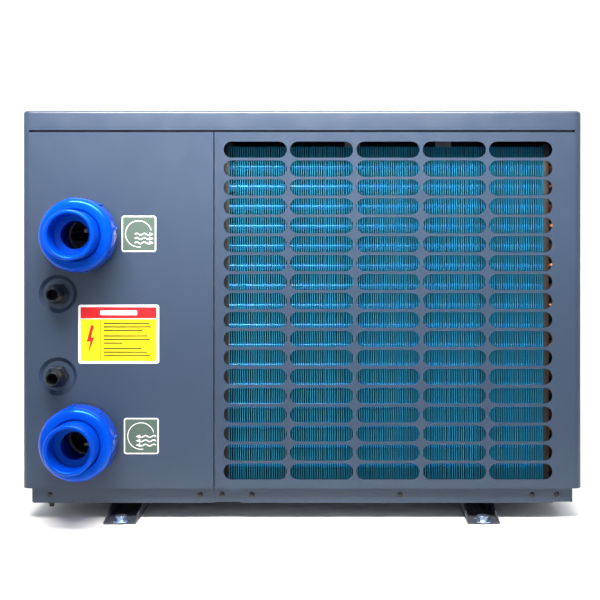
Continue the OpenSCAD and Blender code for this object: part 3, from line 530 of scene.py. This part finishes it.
def box_into(bm, low, high, bevel=0.0):
    """Adds a block between two corners, with bevelled edges if asked."""
    made = bmesh.ops.create_cube(bm, size=1.0)["verts"]
    centre = (Vector(low) + Vector(high)) / 2
    size = Vector(high) - Vector(low)
    for vert in made:
        vert.co = Vector(vert.co[i] * size[i] + centre[i] for i in range(3))
    if bevel:
        edges = {edge for vert in made for edge in vert.link_edges}
        bmesh.ops.bevel(bm, geom=list(edges), offset=bevel, segments=2, affect="EDGES", profile=0.5)


def close_sheets(bm, near, far):
    """Fills two matching grids of points with faces and joins them along their rims."""
    rows, columns = len(near) - 1, len(near[0]) - 1
    for grid in (near, far):
        for j in range(rows):
            for i in range(columns):
                bm.faces.new((grid[j][i], grid[j][i + 1], grid[j + 1][i + 1], grid[j + 1][i]))
    for j in range(rows):
        for i in (0, columns):
            bm.faces.new((near[j][i], near[j + 1][i], far[j + 1][i], far[j][i]))
    for i in range(columns):
        for j in (0, rows):
            bm.faces.new((near[j][i], near[j][i + 1], far[j][i + 1], far[j][i]))


# %% [markdown]
# ## Top cover
# The cover is one pressed pan. Pressing leaves an edge radius of a few millimetres all round, and
# that radius is what the light picks out. Rings of points follow the plan outline, each with its
# own inset and height, and quads join them: inner roof, inner wall, rim, outer wall, rounded edge.

# %% Lofted cover
def plan_ring(bm, inset, z, corner, steps=8):
    """One ring of the cover's rounded plan outline, moved inwards by inset."""
    radius = max(corner - inset, 0.0005)
    ring = []
    for sx, sy, turn in ((1, 1, 0), (-1, 1, 90), (-1, -1, 180), (1, -1, 270)):
        middle_x = (RIGHT if sx > 0 else LEFT) - sx * (inset + radius)
        middle_y = (cover_high.y if sy > 0 else cover_low.y) - sy * (inset + radius)
        for i in range(steps + 1):
            a = math.radians(turn + 90 * i / steps)
            ring.append(bm.verts.new((middle_x + radius * math.cos(a), middle_y + radius * math.sin(a), z)))
    return ring


SHEET = 1.0 * MM
CORNER = 10 * MM
EDGE = 3.5 * MM
skirt = [v.co.z for v in frame["nodes"]["top_cover"].data.vertices if v.co.y < cover_low.y + 0.05 * MM]
cover_rim = min(skirt)
print("skirt", round(cover_rim, 4), "to", round(cover_high.z, 4))
bm = bmesh.new()
rings = [plan_ring(bm, SHEET, cover_high.z - SHEET, CORNER), plan_ring(bm, SHEET, cover_rim, CORNER),
         plan_ring(bm, 0, cover_rim, CORNER)]
for i in range(7):
    a = math.radians(90 * i / 6)
    rings.append(plan_ring(bm, EDGE * (1 - math.cos(a)), cover_high.z - EDGE * (1 - math.sin(a)), CORNER))
for inner, outer in zip(rings, rings[1:]):
    for i in range(len(inner)):
        n = (i + 1) % len(inner)
        bm.faces.new((inner[i], inner[n], outer[n], outer[i]))
bm.faces.new(rings[0])
bm.faces.new(rings[-1])
hem_out = 7 * MM
hem_low = (LEFT + 12 * MM, REAR + hem_out, cover_low.z)
hem_high = (RIGHT - 12 * MM, REAR + hem_out + SHEET, cover_high.z - 1.2 * MM)
box_into(bm, hem_low, hem_high)
add_piece("cover_shell", finished(bm, "cover_shell"), "top_cover")

# %% [markdown]
# ## Water unions
# A union is three mouldings: a threaded body, a tail with a socket for the pipe, and a nut with
# eight grip ribs that pulls them together. The nut has a broad rounded nose. Its ribs are one
# small rounded bar that the ring tree repeats.

# %% Union outlines
def mm(*pairs):
    """Turns (radius, distance) pairs in millimetres into metres."""
    return [(r * MM, s * MM) for r, s in pairs]


THREAD = [(r, s + 4 * turn) for turn in range(4) for r, s in ((38, 10), (38, 12), (36.6, 13))]
BODY_OUTLINE = mm((20, -11), (30.3, -11), (30.3, 10), *THREAD, (38, 26), (38, 30),
                  (28.2, 30), (28.2, 27.4), (23.8, 27.4), (23.8, 30), (20, 30))
TAIL_OUTLINE = mm((17, 30.1), (37, 30.1), (37, 36), (30.3, 36), (30.3, 70.6), (29, 72), (26.6, 72),
                  (25.2, 70.2), (25, 41), (17, 41))
bend = [math.radians(a) for a in range(0, 91, 9)]
NUT_NOSE = [(37.5 + 8 * math.cos(a), 33 + 9 * math.sin(a)) for a in bend]
NUT_OUTLINE = mm((38.3, 8), (44, 8), (45.5, 9.5), *NUT_NOSE,
                 (33, 42), (31.4, 41.4), (31.4, 36.3), (38.3, 36.3))
ribs = ring_tree("nut_ribs", blue_pvc)


# %% [markdown]
# The centre of each union is read from its nut's box, so both are built by one function. The ribs and
# the turned nut are one mesh, because they are one moulding.

# %% Build both unions
def add_union(side):
    """Body, tail and nut of one union, centred on its CAD nut."""
    low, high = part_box(side + "_union_nut")
    x, z = (low.x + high.x) / 2, (low.z + high.z) / 2
    for part, outline, ease in (("body", BODY_OUTLINE, 0.4 * MM), ("tail", TAIL_OUTLINE, 0.7 * MM)):
        bm = bmesh.new()
        turned(bm, eased(outline, ease), x, z, REAR)
        add_piece(side + "_" + part, finished(bm, part), side + "_union_" + part)
    rib = bmesh.new()
    box_into(rib, (43.5 * MM, -32 * MM, -2.2 * MM), (46.9 * MM, -10 * MM, 2.2 * MM), bevel=0.9 * MM)
    bmesh.ops.rotate(rib, verts=rib.verts, cent=(0, 0, 0), matrix=Matrix.Rotation(math.radians(-10), 3, "Y"))
    bm = bmesh.new()
    bm.from_mesh(grown(plain(rib, "rib"), ribs, {"Count": 8}))
    bmesh.ops.translate(bm, verts=bm.verts, vec=(x, REAR, z))
    turned(bm, eased(NUT_OUTLINE, 0.5 * MM), x, z, REAR, steps=128)
    add_piece(side + "_nut", finished(bm, "nut"), side + "_union_nut")


for side in ("upper", "lower"):
    add_union(side)

# %% [markdown]
# ## Cable glands
# A gland is a hexagon base, a rubber sleeve and a domed cap that squeezes it. The cap's hexagon
# runs into fine grip flutes. The hexagon is a six-sided turn with eased corners.

# %% Gland outlines
CAP_OUTLINE = mm((10.3, 5.6), (12.0, 5.6), (12.0, 13), (11.8, 15.5), (11.2, 18.5), (10.1, 21.6), (8.6, 24.2),
                 (8.5, 26.4), (8.0, 27), (7.0, 27), (6.5, 26), (6.4, 21), (8.4, 21), (8.4, 15), (10.3, 15))
GLAND_OUTLINE = mm((6.5, -15.5), (9.9, -15.5), (9.9, -3.4), (12.0, -3.4), (12.0, 4.3), (10, 4.5), (10, 14),
                   (8.4, 14), (8.4, 9), (6.5, 9))
flutes = ring_tree("cap_flutes", gland_nylon)


def hexagon_into(bm, x, z, near, far, across, bore):
    """A hexagon nut between two distances out from the rear panel, with its corners chamfered."""
    corner = across / 2 / math.cos(math.radians(30))
    outline = ((near + 0.6 * MM, corner), (near, corner - 0.9 * MM), (near, bore), (far, bore),
               (far, corner - 0.9 * MM), (far - 0.6 * MM, corner))
    turns = [math.radians(60 * i) for i in range(6)]
    rings = []
    for s, r in outline:
        rings.append([bm.verts.new((x + r * math.cos(a), REAR - s, z + r * math.sin(a))) for a in turns])
    for here, there in zip(rings, rings[1:] + rings[:1]):
        for i in range(6):
            bm.faces.new((here[i], here[(i + 1) % 6], there[(i + 1) % 6], there[i]))


# %% [markdown]
# Both glands are the same, so one loop makes the base and the cap at each cap's own centre.

# %% Build both glands
for side in ("upper", "lower"):
    low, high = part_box(side + "_gland_cap")
    x, z = (low.x + high.x) / 2, (low.z + high.z) / 2
    bm = bmesh.new()
    turned(bm, eased(GLAND_OUTLINE, 0.3 * MM), x, z, REAR, steps=48)
    hexagon_into(bm, x, z, -3.4 * MM, 4.4 * MM, 24 * MM, 10 * MM)
    add_piece(side + "_gland_base", finished(bm, "base"), side + "_gland_body", finish=gland_nylon)
    flute = bmesh.new()
    box_into(flute, (11.2 * MM, -13.4 * MM, -0.7 * MM), (12.3 * MM, -9.6 * MM, 0.7 * MM), bevel=0.4 * MM)
    bm = bmesh.new()
    bm.from_mesh(grown(plain(flute, "flute"), flutes, {"Count": 12}))
    bmesh.ops.translate(bm, verts=bm.verts, vec=(x, REAR, z))
    turned(bm, eased(CAP_OUTLINE, 0.5 * MM), x, z, REAR, steps=60)
    hexagon_into(bm, x, z, 5.6 * MM, 12.4 * MM, 24 * MM, 10.4 * MM)
    add_piece(side + "_gland_dome", finished(bm, "dome"), side + "_gland_cap", finish=gland_nylon)

# %% [markdown]
# ## Evaporator coil
# The coil fills the whole guard. Each fin is a thin strip, corrugated front to back so that air
# is stirred, and pressed onto the tubes with a small collar at every tube. No fin stays quite
# straight, so the row tree leans and shifts each one a little with a fixed seed.

# %% One fin and its row
FIN_INSET = 1.5 * MM
FIN_COUNT = len(islands("coil_fins"))
FIN_PITCH = (fin_high.x - fin_low.x - 2 * FIN_INSET) / (FIN_COUNT - 1)
print("fins", FIN_COUNT, "pitch", round(FIN_PITCH, 5))


def fin_strip():
    """A closed strip at X = 0, flat at its front edge and corrugated behind it."""
    depth = fin_high.y - fin_low.y
    height = fin_high.z - fin_low.z
    bm = bmesh.new()
    across, up, half = 8, 26, 0.25 * MM
    sheets = []
    for face in (-half, half):
        grid = []
        for j in range(up + 1):
            row = []
            for i in range(across + 1):
                wave = 0 if i < 2 else -1.25 * MM * math.cos(math.pi * i)
                sway = 0.22 * MM * math.sin(j * 1.9) + 0.15 * MM * math.sin(j * 0.7 + i)
                y = depth * (i / across - 0.5)
                row.append(bm.verts.new((face + wave + sway, y, fin_low.z + height * j / up)))
            grid.append(row)
        sheets.append(grid)
    close_sheets(bm, *sheets)
    return finished(bm, "fin")


fins = row_tree("fin_row", fin_blue)
fin_sizes = {"Count": FIN_COUNT, "Pitch": FIN_PITCH, "Lean": 0.006, "Shift": 0.12 * MM, "Seed": 11}
mesh = grown(fin_strip(), fins, fin_sizes)
mesh.transform(Matrix.Translation((fin_low.x + FIN_INSET, (fin_low.y + fin_high.y) / 2, 0)))
add_piece("fin_pack", mesh, "coil_fins")

# %% [markdown]
# The collars show between the fins as bright blue dashes along every tube. One short sleeve goes
# along a row, and the row is repeated for each straight tube that the frame holds.

# %% Collars on the tubes
straights = [(low, high) for low, high in islands("coil_tubes") if high.x - low.x > 0.3]
SLEEVE_R = 5.3 * MM
along_x = Matrix.Rotation(math.radians(90), 4, "Y")
bm = bmesh.new()
bmesh.ops.create_cone(bm, cap_ends=True, segments=10, radius1=SLEEVE_R, radius2=SLEEVE_R * 0.95,
                      depth=FIN_PITCH * 0.97, matrix=along_x)
sleeve = plain(bm, "sleeve")
collars = row_tree("collar_row", collar_blue)
row = grown(sleeve, collars, {"Count": FIN_COUNT - 1, "Pitch": FIN_PITCH, "Seed": 3})
first_x = fin_low.x + FIN_INSET + FIN_PITCH / 2
bm = bmesh.new()
for low, high in straights:
    line = row.copy()
    centre = (low + high) / 2
    line.transform(Matrix.Translation((first_x, centre.y, centre.z)))
    bm.from_mesh(line)
mesh = plain(bm, "collars")
mesh.materials.append(collar_blue)
collar_piece = bpy.data.objects.new("tube_collars", mesh)
bpy.context.collection.objects.link(collar_piece)
mesh.shade_smooth()
mesh.set_sharp_from_angle(angle=math.radians(50))
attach(collar_piece, "cabinet")
print("tubes", len(straights), "collar faces", len(mesh.polygons))

# %% [markdown]
# A folded steel plate closes each end of the coil. Its front lip is turned over the last fins, and
# shows as a grey strip at the ends of the air slots.

# %% End plates with front lips
LIP = 7 * MM
plate_low, plate_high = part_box("coil_end_plates")
bm = bmesh.new()
bm.from_mesh(frame["nodes"]["coil_end_plates"].data)
for near, far in ((plate_low.x, plate_low.x + LIP), (plate_high.x - LIP, plate_high.x)):
    lip_low = (near, fin_low.y - 1.6 * MM, plate_low.z)
    lip_high = (far, fin_low.y - 0.5 * MM, plate_high.z)
    box_into(bm, lip_low, lip_high, bevel=0.3 * MM)
add_piece("end_plate_folds", finished(bm, "end_plates"), "coil_end_plates", finish=plate_steel)

# %% [markdown]
# ## Screws
# Every casing screw is the same black pan head with a cross recess. The head is a turned outline, and
# the recess is cut by a Boolean modifier with the tip of a driver as the tool.

# %% One screw
def screw_shape():
    """Pan head on +Z with a cross recess, its seat at the origin."""
    bm = bmesh.new()
    head = mm((0, 2.1), (1.2, 2.05), (2.3, 1.75), (3.1, 1.2), (3.45, 0.5), (3.45, 0),
              (1.7, 0), (1.7, -7), (0, -8))
    rings = []
    for i in range(24):
        a = 2 * math.pi * i / 24
        rings.append([bm.verts.new((r * math.cos(a), r * math.sin(a), s)) for r, s in head])
    for i in range(24):
        here, there = rings[i], rings[(i + 1) % 24]
        for k in range(len(head) - 1):
            bm.faces.new((here[k], here[k + 1], there[k + 1], there[k]))
    return finished(bm, "screw")


def cross_shape():
    """The tip of a cross driver, as a closed plus-shaped prism that is sunk into the head."""
    wide, thin = 1.75 * MM, 0.42 * MM
    outline = [(wide, thin), (thin, thin), (thin, wide), (-thin, wide), (-thin, thin), (-wide, thin),
               (-wide, -thin), (-thin, -thin), (-thin, -wide), (thin, -wide), (thin, -thin), (wide, -thin)]
    bm = bmesh.new()
    low = [bm.verts.new((0.7 * x, 0.7 * y, 0.7 * MM)) for x, y in outline]
    high = [bm.verts.new((x, y, 2.6 * MM)) for x, y in outline]
    bm.faces.new(low)
    bm.faces.new(high)
    for i in range(12):
        n = (i + 1) % 12
        bm.faces.new((low[i], low[n], high[n], high[i]))
    return finished(bm, "cross")


def cut_out(mesh, tool_mesh):
    """Cuts one closed mesh out of another with a Boolean modifier and bakes the result."""
    tool = bpy.data.objects.new("tool", tool_mesh)
    carrier = bpy.data.objects.new("carrier", mesh)
    for thing in (tool, carrier):
        bpy.context.collection.objects.link(thing)
    cut = carrier.modifiers.new("cut", "BOOLEAN")
    cut.operation = "DIFFERENCE"
    cut.object = tool
    result = baked(carrier)
    bpy.data.objects.remove(tool)
    return result


screw = cut_out(screw_shape(), cross_shape())
print("one screw", len(screw.polygons), "faces")


# %% [markdown]
# A third tree puts a shape on any set of points. Each point carries its heading as an attribute, and
# Align Rotation to Vector turns the copy's Z axis to it.

# %% Tree for scattered places
def place_tree(name, shape, material):
    """Puts a shape on every incoming point, turned to the point's own heading."""
    tree, given, result = start_tree(name, {"Size": 1.0})
    source = node_in(tree, "GeometryNodeObjectInfo", Object=shape)
    heading = tree.nodes.new("GeometryNodeInputNamedAttribute")
    heading.data_type = "FLOAT_VECTOR"
    heading.inputs["Name"].default_value = "heading"
    aim = node_in(tree, "FunctionNodeAlignRotationToVector", Vector=heading.outputs["Attribute"])
    aim.axis = "Z"
    copies = node_in(tree, "GeometryNodeInstanceOnPoints", Points=given["Shape"],
                     Instance=source.outputs["Geometry"], Rotation=aim.outputs[0], Scale=given["Size"])
    finish_tree(tree, copies.outputs[0], material, result)
    return tree


def place_copies(name, shape, spots, material):
    """Copies of a mesh at (point, heading) spots, as one plain mesh."""
    holder = bpy.data.objects.new("shape", shape)
    bpy.context.collection.objects.link(holder)
    points = bpy.data.meshes.new("points")
    points.from_pydata([spot for spot, way in spots], [], [])
    attribute = points.attributes.new("heading", "FLOAT_VECTOR", "POINT")
    for i, (spot, way) in enumerate(spots):
        attribute.data[i].vector = way
    mesh = grown(points, place_tree(name, holder, material), {"Size": 1.0})
    bpy.data.objects.remove(holder)
    return mesh


# %% [markdown]
# The frame says where each screw is and which way it points: its long side is its axis, and its head
# is on the outside of the casing.

# %% Screws in their places
HEAD_H = 2.2 * MM
spots = []
for low, high in islands("casing_screws"):
    size = high - low
    axis = max(range(3), key=lambda i: size[i])
    centre = (low + high) / 2
    sign = 1 if centre[axis] > 0 else -1
    way = Vector((0, 0, 0))
    way[axis] = sign
    seat = centre.copy()
    seat[axis] = (high[axis] if sign > 0 else low[axis]) - sign * HEAD_H
    spots.append((seat, way))
heads = place_copies("casing_screw_places", screw, spots, black_steel)
add_piece("casing_screw_heads", heads, "casing_screws")
print("screws", len(spots))

# %% [markdown]
# ## Softened sheet, feet and mouldings
# These shapes are right as they come. They only need the small radius that bending or moulding
# leaves, so each gets a softened copy. Moulded plastic gets a wider one than bent steel.

# %% Softened parts
EDGE_MM = {
    "left_foot": 0.5, "right_foot": 0.5, "foot_bolts": 0.35, "left_handle": 0.6, "right_handle": 0.6,
    "controller_bezel": 0.7, "fan_guard": 0.5, "bonding_stud": 0.2,
}
for node, width in EDGE_MM.items():
    softened(node, width * MM)
# The bonding stud is painted dark zinc as painted shade, since it sits in shadow.
bpy.data.objects["bonding_stud_soft"].data.materials[0] = stud_painted_shade

# %% [markdown]
# ## Buttons
# A push button has a crowned top that a finger finds. Each is turned from one outline.

# %% Button caps
for key in ("power", "mode", "up", "down"):
    low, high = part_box(key + "_button")
    x, z = (low.x + high.x) / 2, (low.z + high.z) / 2
    outline = mm((0, 7.95), (3, 7.75), (5, 7.3), (6, 6.4), (6, 2.5), (7.5, 2.5), (7.5, 0), (0, 0))
    bm = bmesh.new()
    turned(bm, eased(outline, 0.3 * MM), x, z, low.y, out=1, steps=40)
    add_piece(key + "_cap", finished(bm, key), key + "_button")

# %% [markdown]
# ## Fan
# A pressed fan blade is not flat: it twists from root to tip and is hollow on its working side.
# One blade is lofted from chords at several radii, kept inside the swept box that the frame
# gives, and the ring tree repeats it round the hub.

# %% Twisted blades and hub
blade_low, blade_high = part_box("fan_blade")
fan_x = (blade_low.x + blade_high.x) / 2
fan_z = (blade_low.z + blade_high.z) / 2
tip_r = (blade_high.x - blade_low.x) / 2 - 0.5 * MM
hub_r = 40 * MM
swept_mid = blade_low.y + 24 * MM


def blade_shape():
    """One blade on +Z, about the fan axis."""
    bm = bmesh.new()
    spans, chords, half = 12, 10, 1.1 * MM
    sheets = []
    for face in (-1, 1):
        grid = []
        for j in range(spans + 1):
            t = j / spans
            r = hub_r * 0.92 + (tip_r - hub_r * 0.92) * t
            pitch = math.radians(34 - 17 * t)
            chord = (62 + 78 * t ** 0.7) * MM
            sweep = 0.22 * t * t
            row = []
            for i in range(chords + 1):
                u = i / chords - 0.5
                arc = u * chord / r * math.cos(pitch) + sweep
                hollow = 5 * MM * (0.25 - u * u)
                rise = u * chord * math.sin(pitch) + hollow + face * half * (1 - 1.6 * abs(u))
                row.append(bm.verts.new((r * math.sin(arc), rise, r * math.cos(arc))))
            grid.append(row)
        sheets.append(grid)
    close_sheets(bm, *sheets)
    return finished(bm, "blade")


blades = ring_tree("fan_blades", black_plastic)
bm = bmesh.new()
bm.from_mesh(grown(blade_shape(), blades, {"Count": 4}))
bmesh.ops.translate(bm, verts=bm.verts, vec=(fan_x, swept_mid, fan_z))
hub = mm((6.1, 0), (40, 0), (40, 32), (36, 35.6), (6.1, 35.6))
turned(bm, eased(hub, 1.5 * MM), fan_x, fan_z, blade_high.y - 35.8 * MM, out=1, steps=64)
add_piece("fan_rotor", finished(bm, "rotor"), "fan_blade")

# %% [markdown]
# ## Labels
# The labels are printed vinyl. Each colour is its own thin layer on a white plate, so that the
# edges stay crisp in any light. The pictures are plain arrows and waves and the text is plain bars.

# %% Flat shapes
def layer_into(bm, outline, back, front, index):
    """A thin prism from an outline of (x, z) points, with a material index."""
    near = [bm.verts.new((x, front, z)) for x, z in outline]
    far = [bm.verts.new((x, back, z)) for x, z in outline]
    faces = [bm.faces.new(near), bm.faces.new(list(reversed(far)))]
    for i in range(len(outline)):
        n = (i + 1) % len(outline)
        faces.append(bm.faces.new((near[n], near[i], far[i], far[n])))
    for face in faces:
        face.material_index = index


def round_box(x, z, w, h, r, steps=5):
    """Outline of a rectangle with round corners about its middle."""
    points = []
    for sx, sz, turn in ((1, 1, 0), (-1, 1, 90), (-1, -1, 180), (1, -1, 270)):
        for i in range(steps + 1):
            a = math.radians(turn + 90 * i / steps)
            points.append((x + sx * (w / 2 - r) + r * math.cos(a), z + sz * (h / 2 - r) + r * math.sin(a)))
    return points


def ribbon(path, width):
    """Outline of a line of even width along a path of (x, z) points."""
    left, right = [], []
    for i, point in enumerate(path):
        here = Vector(point)
        ahead = Vector(path[min(i + 1, len(path) - 1)]) - Vector(path[max(i - 1, 0)])
        side = Vector((-ahead.y, ahead.x)).normalized() * width / 2
        left.append(tuple(here + side))
        right.append(tuple(here - side))
    return left + right[::-1]


# %% [markdown]
# The frame holds three plain plates. The printed layers are laid out inside each plate's own box, and
# each layer lies a few hundredths of a millimetre above the one below, so that no two share a plane.

# %% Flow labels and the notice plate
label_boxes = sorted(islands("labels"), key=lambda pair: pair[0].z)
bm = bmesh.new()


def levels(step):
    """Back and front planes of a printed layer; each step lies 0.03 mm further out."""
    front = REAR - (0.2 + 0.03 * step) * MM
    return front + 0.1 * MM, front


def flow_label(low, high, way):
    """White plate, green-grey field, an arc and three waving arrows that point left or right."""
    x, z = (low.x + high.x) / 2, (low.z + high.z) / 2
    w, h = high.x - low.x, high.z - low.z
    layer_into(bm, round_box(x, z, w, h, 3 * MM), REAR, REAR - 0.2 * MM, 0)
    layer_into(bm, round_box(x, z, w - 3 * MM, h - 3 * MM, 2 * MM), *levels(1), 1)
    r = 0.38 * w
    angles = [math.radians(a) for a in range(16, 281, 8)]
    arc = [(x - 0.01 * w + r * math.cos(a), z + r * math.sin(a)) for a in angles]
    layer_into(bm, ribbon(arc, 0.9 * MM), *levels(2), 0)
    for row in range(3):
        middle = z - (0.01 + 0.12 * row) * h
        tail, tip = (x - 0.12 * w, x + 0.42 * w) if way > 0 else (x + 0.42 * w, x - 0.16 * w)
        wave = []
        for t in range(17):
            wave.append((tail + (tip - tail) * t / 16 * 0.82, middle + 1.1 * MM * math.sin(t * 0.78)))
        layer_into(bm, ribbon(wave, 1.3 * MM), *levels(2), 0)
        neck = wave[-1][0]
        head = [(tip, middle), (neck - way * MM, middle + 2.3 * MM), (neck - way * MM, middle - 2.3 * MM)]
        layer_into(bm, head, *levels(3), 0)


def notice_label(low, high):
    """White plate with a red heading band and a yellow field, with plain bars for text."""
    x, z = (low.x + high.x) / 2, (low.z + high.z) / 2
    w, h = high.x - low.x, high.z - low.z
    layer_into(bm, round_box(x, z, w, h, 3 * MM), REAR, REAR - 0.2 * MM, 0)
    inner_w, inner_h = w - 6 * MM, h - 6 * MM
    band = 14 * MM
    top = z + inner_h / 2
    layer_into(bm, round_box(x, top - band / 2, inner_w, band, 0.6 * MM), *levels(1), 3)
    field_h = inner_h - band - 1 * MM
    field_z = z - inner_h / 2 + field_h / 2
    layer_into(bm, round_box(x, field_z, inner_w, field_h, 0.6 * MM), *levels(1), 2)
    divider = x - inner_w * 0.24
    layer_into(bm, round_box(divider, field_z, 0.7 * MM, field_h - 1 * MM, 0.3 * MM), *levels(2), 4)
    layer_into(bm, round_box(x, top - band / 2, 46 * MM, 6 * MM, 1 * MM), *levels(2), 0)
    for i, share in enumerate((0.60, 0.63, 0.52, 0.58, 0.61, 0.25, 0.50, 0.57, 0.62)):
        length = share * inner_w
        spot = z - inner_h / 2 + field_h * (0.9 - 0.085 * i - 0.045 * (i // 3))
        bar = round_box(divider + 4 * MM + length / 2, spot, length, 1.9 * MM, 0.4 * MM)
        layer_into(bm, bar, *levels(2), 4)
    middle = (x - inner_w / 2 + divider) / 2
    base = z - inner_h / 2 + field_h * 0.5
    bolt = ((0.10, 1.0), (-0.62, -0.12), (-0.06, -0.06), (-0.42, -1.0), (0.62, 0.22), (0.08, 0.16),
            (0.55, 0.95))
    layer_into(bm, [(middle + 8 * MM * u, base + 19 * MM * v) for u, v in bolt], *levels(2), 3)


flow_label(*label_boxes[0], way=-1)
notice_label(*label_boxes[1])
flow_label(*label_boxes[2], way=1)
mesh = finished(bm, "labels")
for finish in (vinyl_white, vinyl_green, vinyl_yellow, vinyl_red, vinyl_ink):
    mesh.materials.append(finish)
add_piece("printed_labels", mesh, "labels")

# %% [markdown]
# ## Studio
# A round pale floor that curves up at its rim gives an even backdrop from every side. It is a turned
# outline like the nuts, only metres wide.

# %% Floor
MIDDLE_Y = -0.3
AROUND = 96
FLAT_R = 1.6
CURVE_R = 0.8
WALL_TOP = 4.0
floor_line = [(0.4, 0.0), (FLAT_R, 0.0)]
for degrees in range(10, 91, 10):
    a = math.radians(degrees)
    floor_line.append((FLAT_R + CURVE_R * math.sin(a), CURVE_R - CURVE_R * math.cos(a)))
floor_line.append((FLAT_R + CURVE_R, WALL_TOP))
bm = bmesh.new()
rings = []
angles = [2 * math.pi * i / AROUND for i in range(AROUND)]
for r, z in floor_line:
    rings.append([bm.verts.new((r * math.cos(a), MIDDLE_Y + r * math.sin(a), z)) for a in angles])
bm.faces.new(rings[0])
for here, there in zip(rings, rings[1:]):
    for i in range(AROUND):
        n = (i + 1) % AROUND
        bm.faces.new((here[i], there[i], there[n], here[n]))
floor_mesh = plain(bm, "floor")
floor_mesh.shade_smooth()
floor_mesh.materials.append(surface("studio_floor", (0.86, 0.87, 0.88), 0.7, grain=60, depth=0.0001,
                                    mottle=0.01, patch=2))
floor = bpy.data.objects.new("floor", floor_mesh)
bpy.context.collection.objects.link(floor)
print("floor", len(floor_mesh.polygons), "faces")

# %% [markdown]
# One soft light close above the rear panel grazes down it, so the paint is bright at the top and
# darkens below. A broad light overhead and a wash on the backdrop keep the floor pale, and one more
# lights the front. The standard view transform keeps the strong blue of the unions, which a film
# curve would grey.

# %% Lights
def area_light(name, spot, target, size, power, tint=(1, 1, 1), fan_deg=180):
    """A rectangular light at one point, aimed at another."""
    data = bpy.data.lights.new(name, "AREA")
    data.shape = "RECTANGLE"
    data.size, data.size_y = size
    data.energy = power
    data.color = tint
    data.spread = math.radians(fan_deg)
    light = bpy.data.objects.new(name, data)
    light.location = spot
    light.rotation_euler = (Vector(target) - Vector(spot)).to_track_quat("-Z", "Y").to_euler()
    bpy.context.collection.objects.link(light)


area_light("key", (-0.05, REAR - 0.42, 0.90), (-0.02, REAR, 0.44), (0.9, 0.25), 9.5,
           tint=(1.0, 0.93, 0.85), fan_deg=85)
area_light("fill", (-0.3, REAR - 2.0, 0.8), (0, REAR, 0.25), (1.2, 1.0), 2)
area_light("overhead", (0.0, 1.0, 2.4), (0, 1.0, 0), (2.6, 1.6), 18)
area_light("wash", (0.0, 0.9, 2.2), (0, 2.0, 0.8), (3.4, 0.4), 32)
area_light("front", (0.9, 1.7, 1.6), (0, FRONT, 0.25), (1.4, 1.0), 22)
world = bpy.data.worlds.new("studio_world")
world.use_nodes = True
world.node_tree.nodes["Background"].inputs["Color"].default_value = (0.93, 0.96, 1.0, 1)
world.node_tree.nodes["Background"].inputs["Strength"].default_value = 0.1
bpy.context.scene.world = world
bpy.context.scene.view_settings.view_transform = "Standard"
print("lights", len(bpy.data.lights))

# %% [markdown]
# The camera looks straight at the rear panel, a little above the middle of the unit, from 1.3 m.
# A small shift centres the unit in the frame without tilting the camera, which keeps edges upright.

# %% Camera
lens = bpy.data.cameras.new("camera")
lens.sensor_width = 36
lens.lens = 62.46
lens.shift_x = -0.0583
lens.shift_y = -0.1083
camera = bpy.data.objects.new("camera", lens)
camera.location = (0.0411, REAR - 1.3, 0.3575)
camera.rotation_euler = (math.radians(90), 0, 0)
bpy.context.collection.objects.link(camera)
bpy.context.scene.camera = camera
print("camera at", [round(v, 4) for v in camera.location])
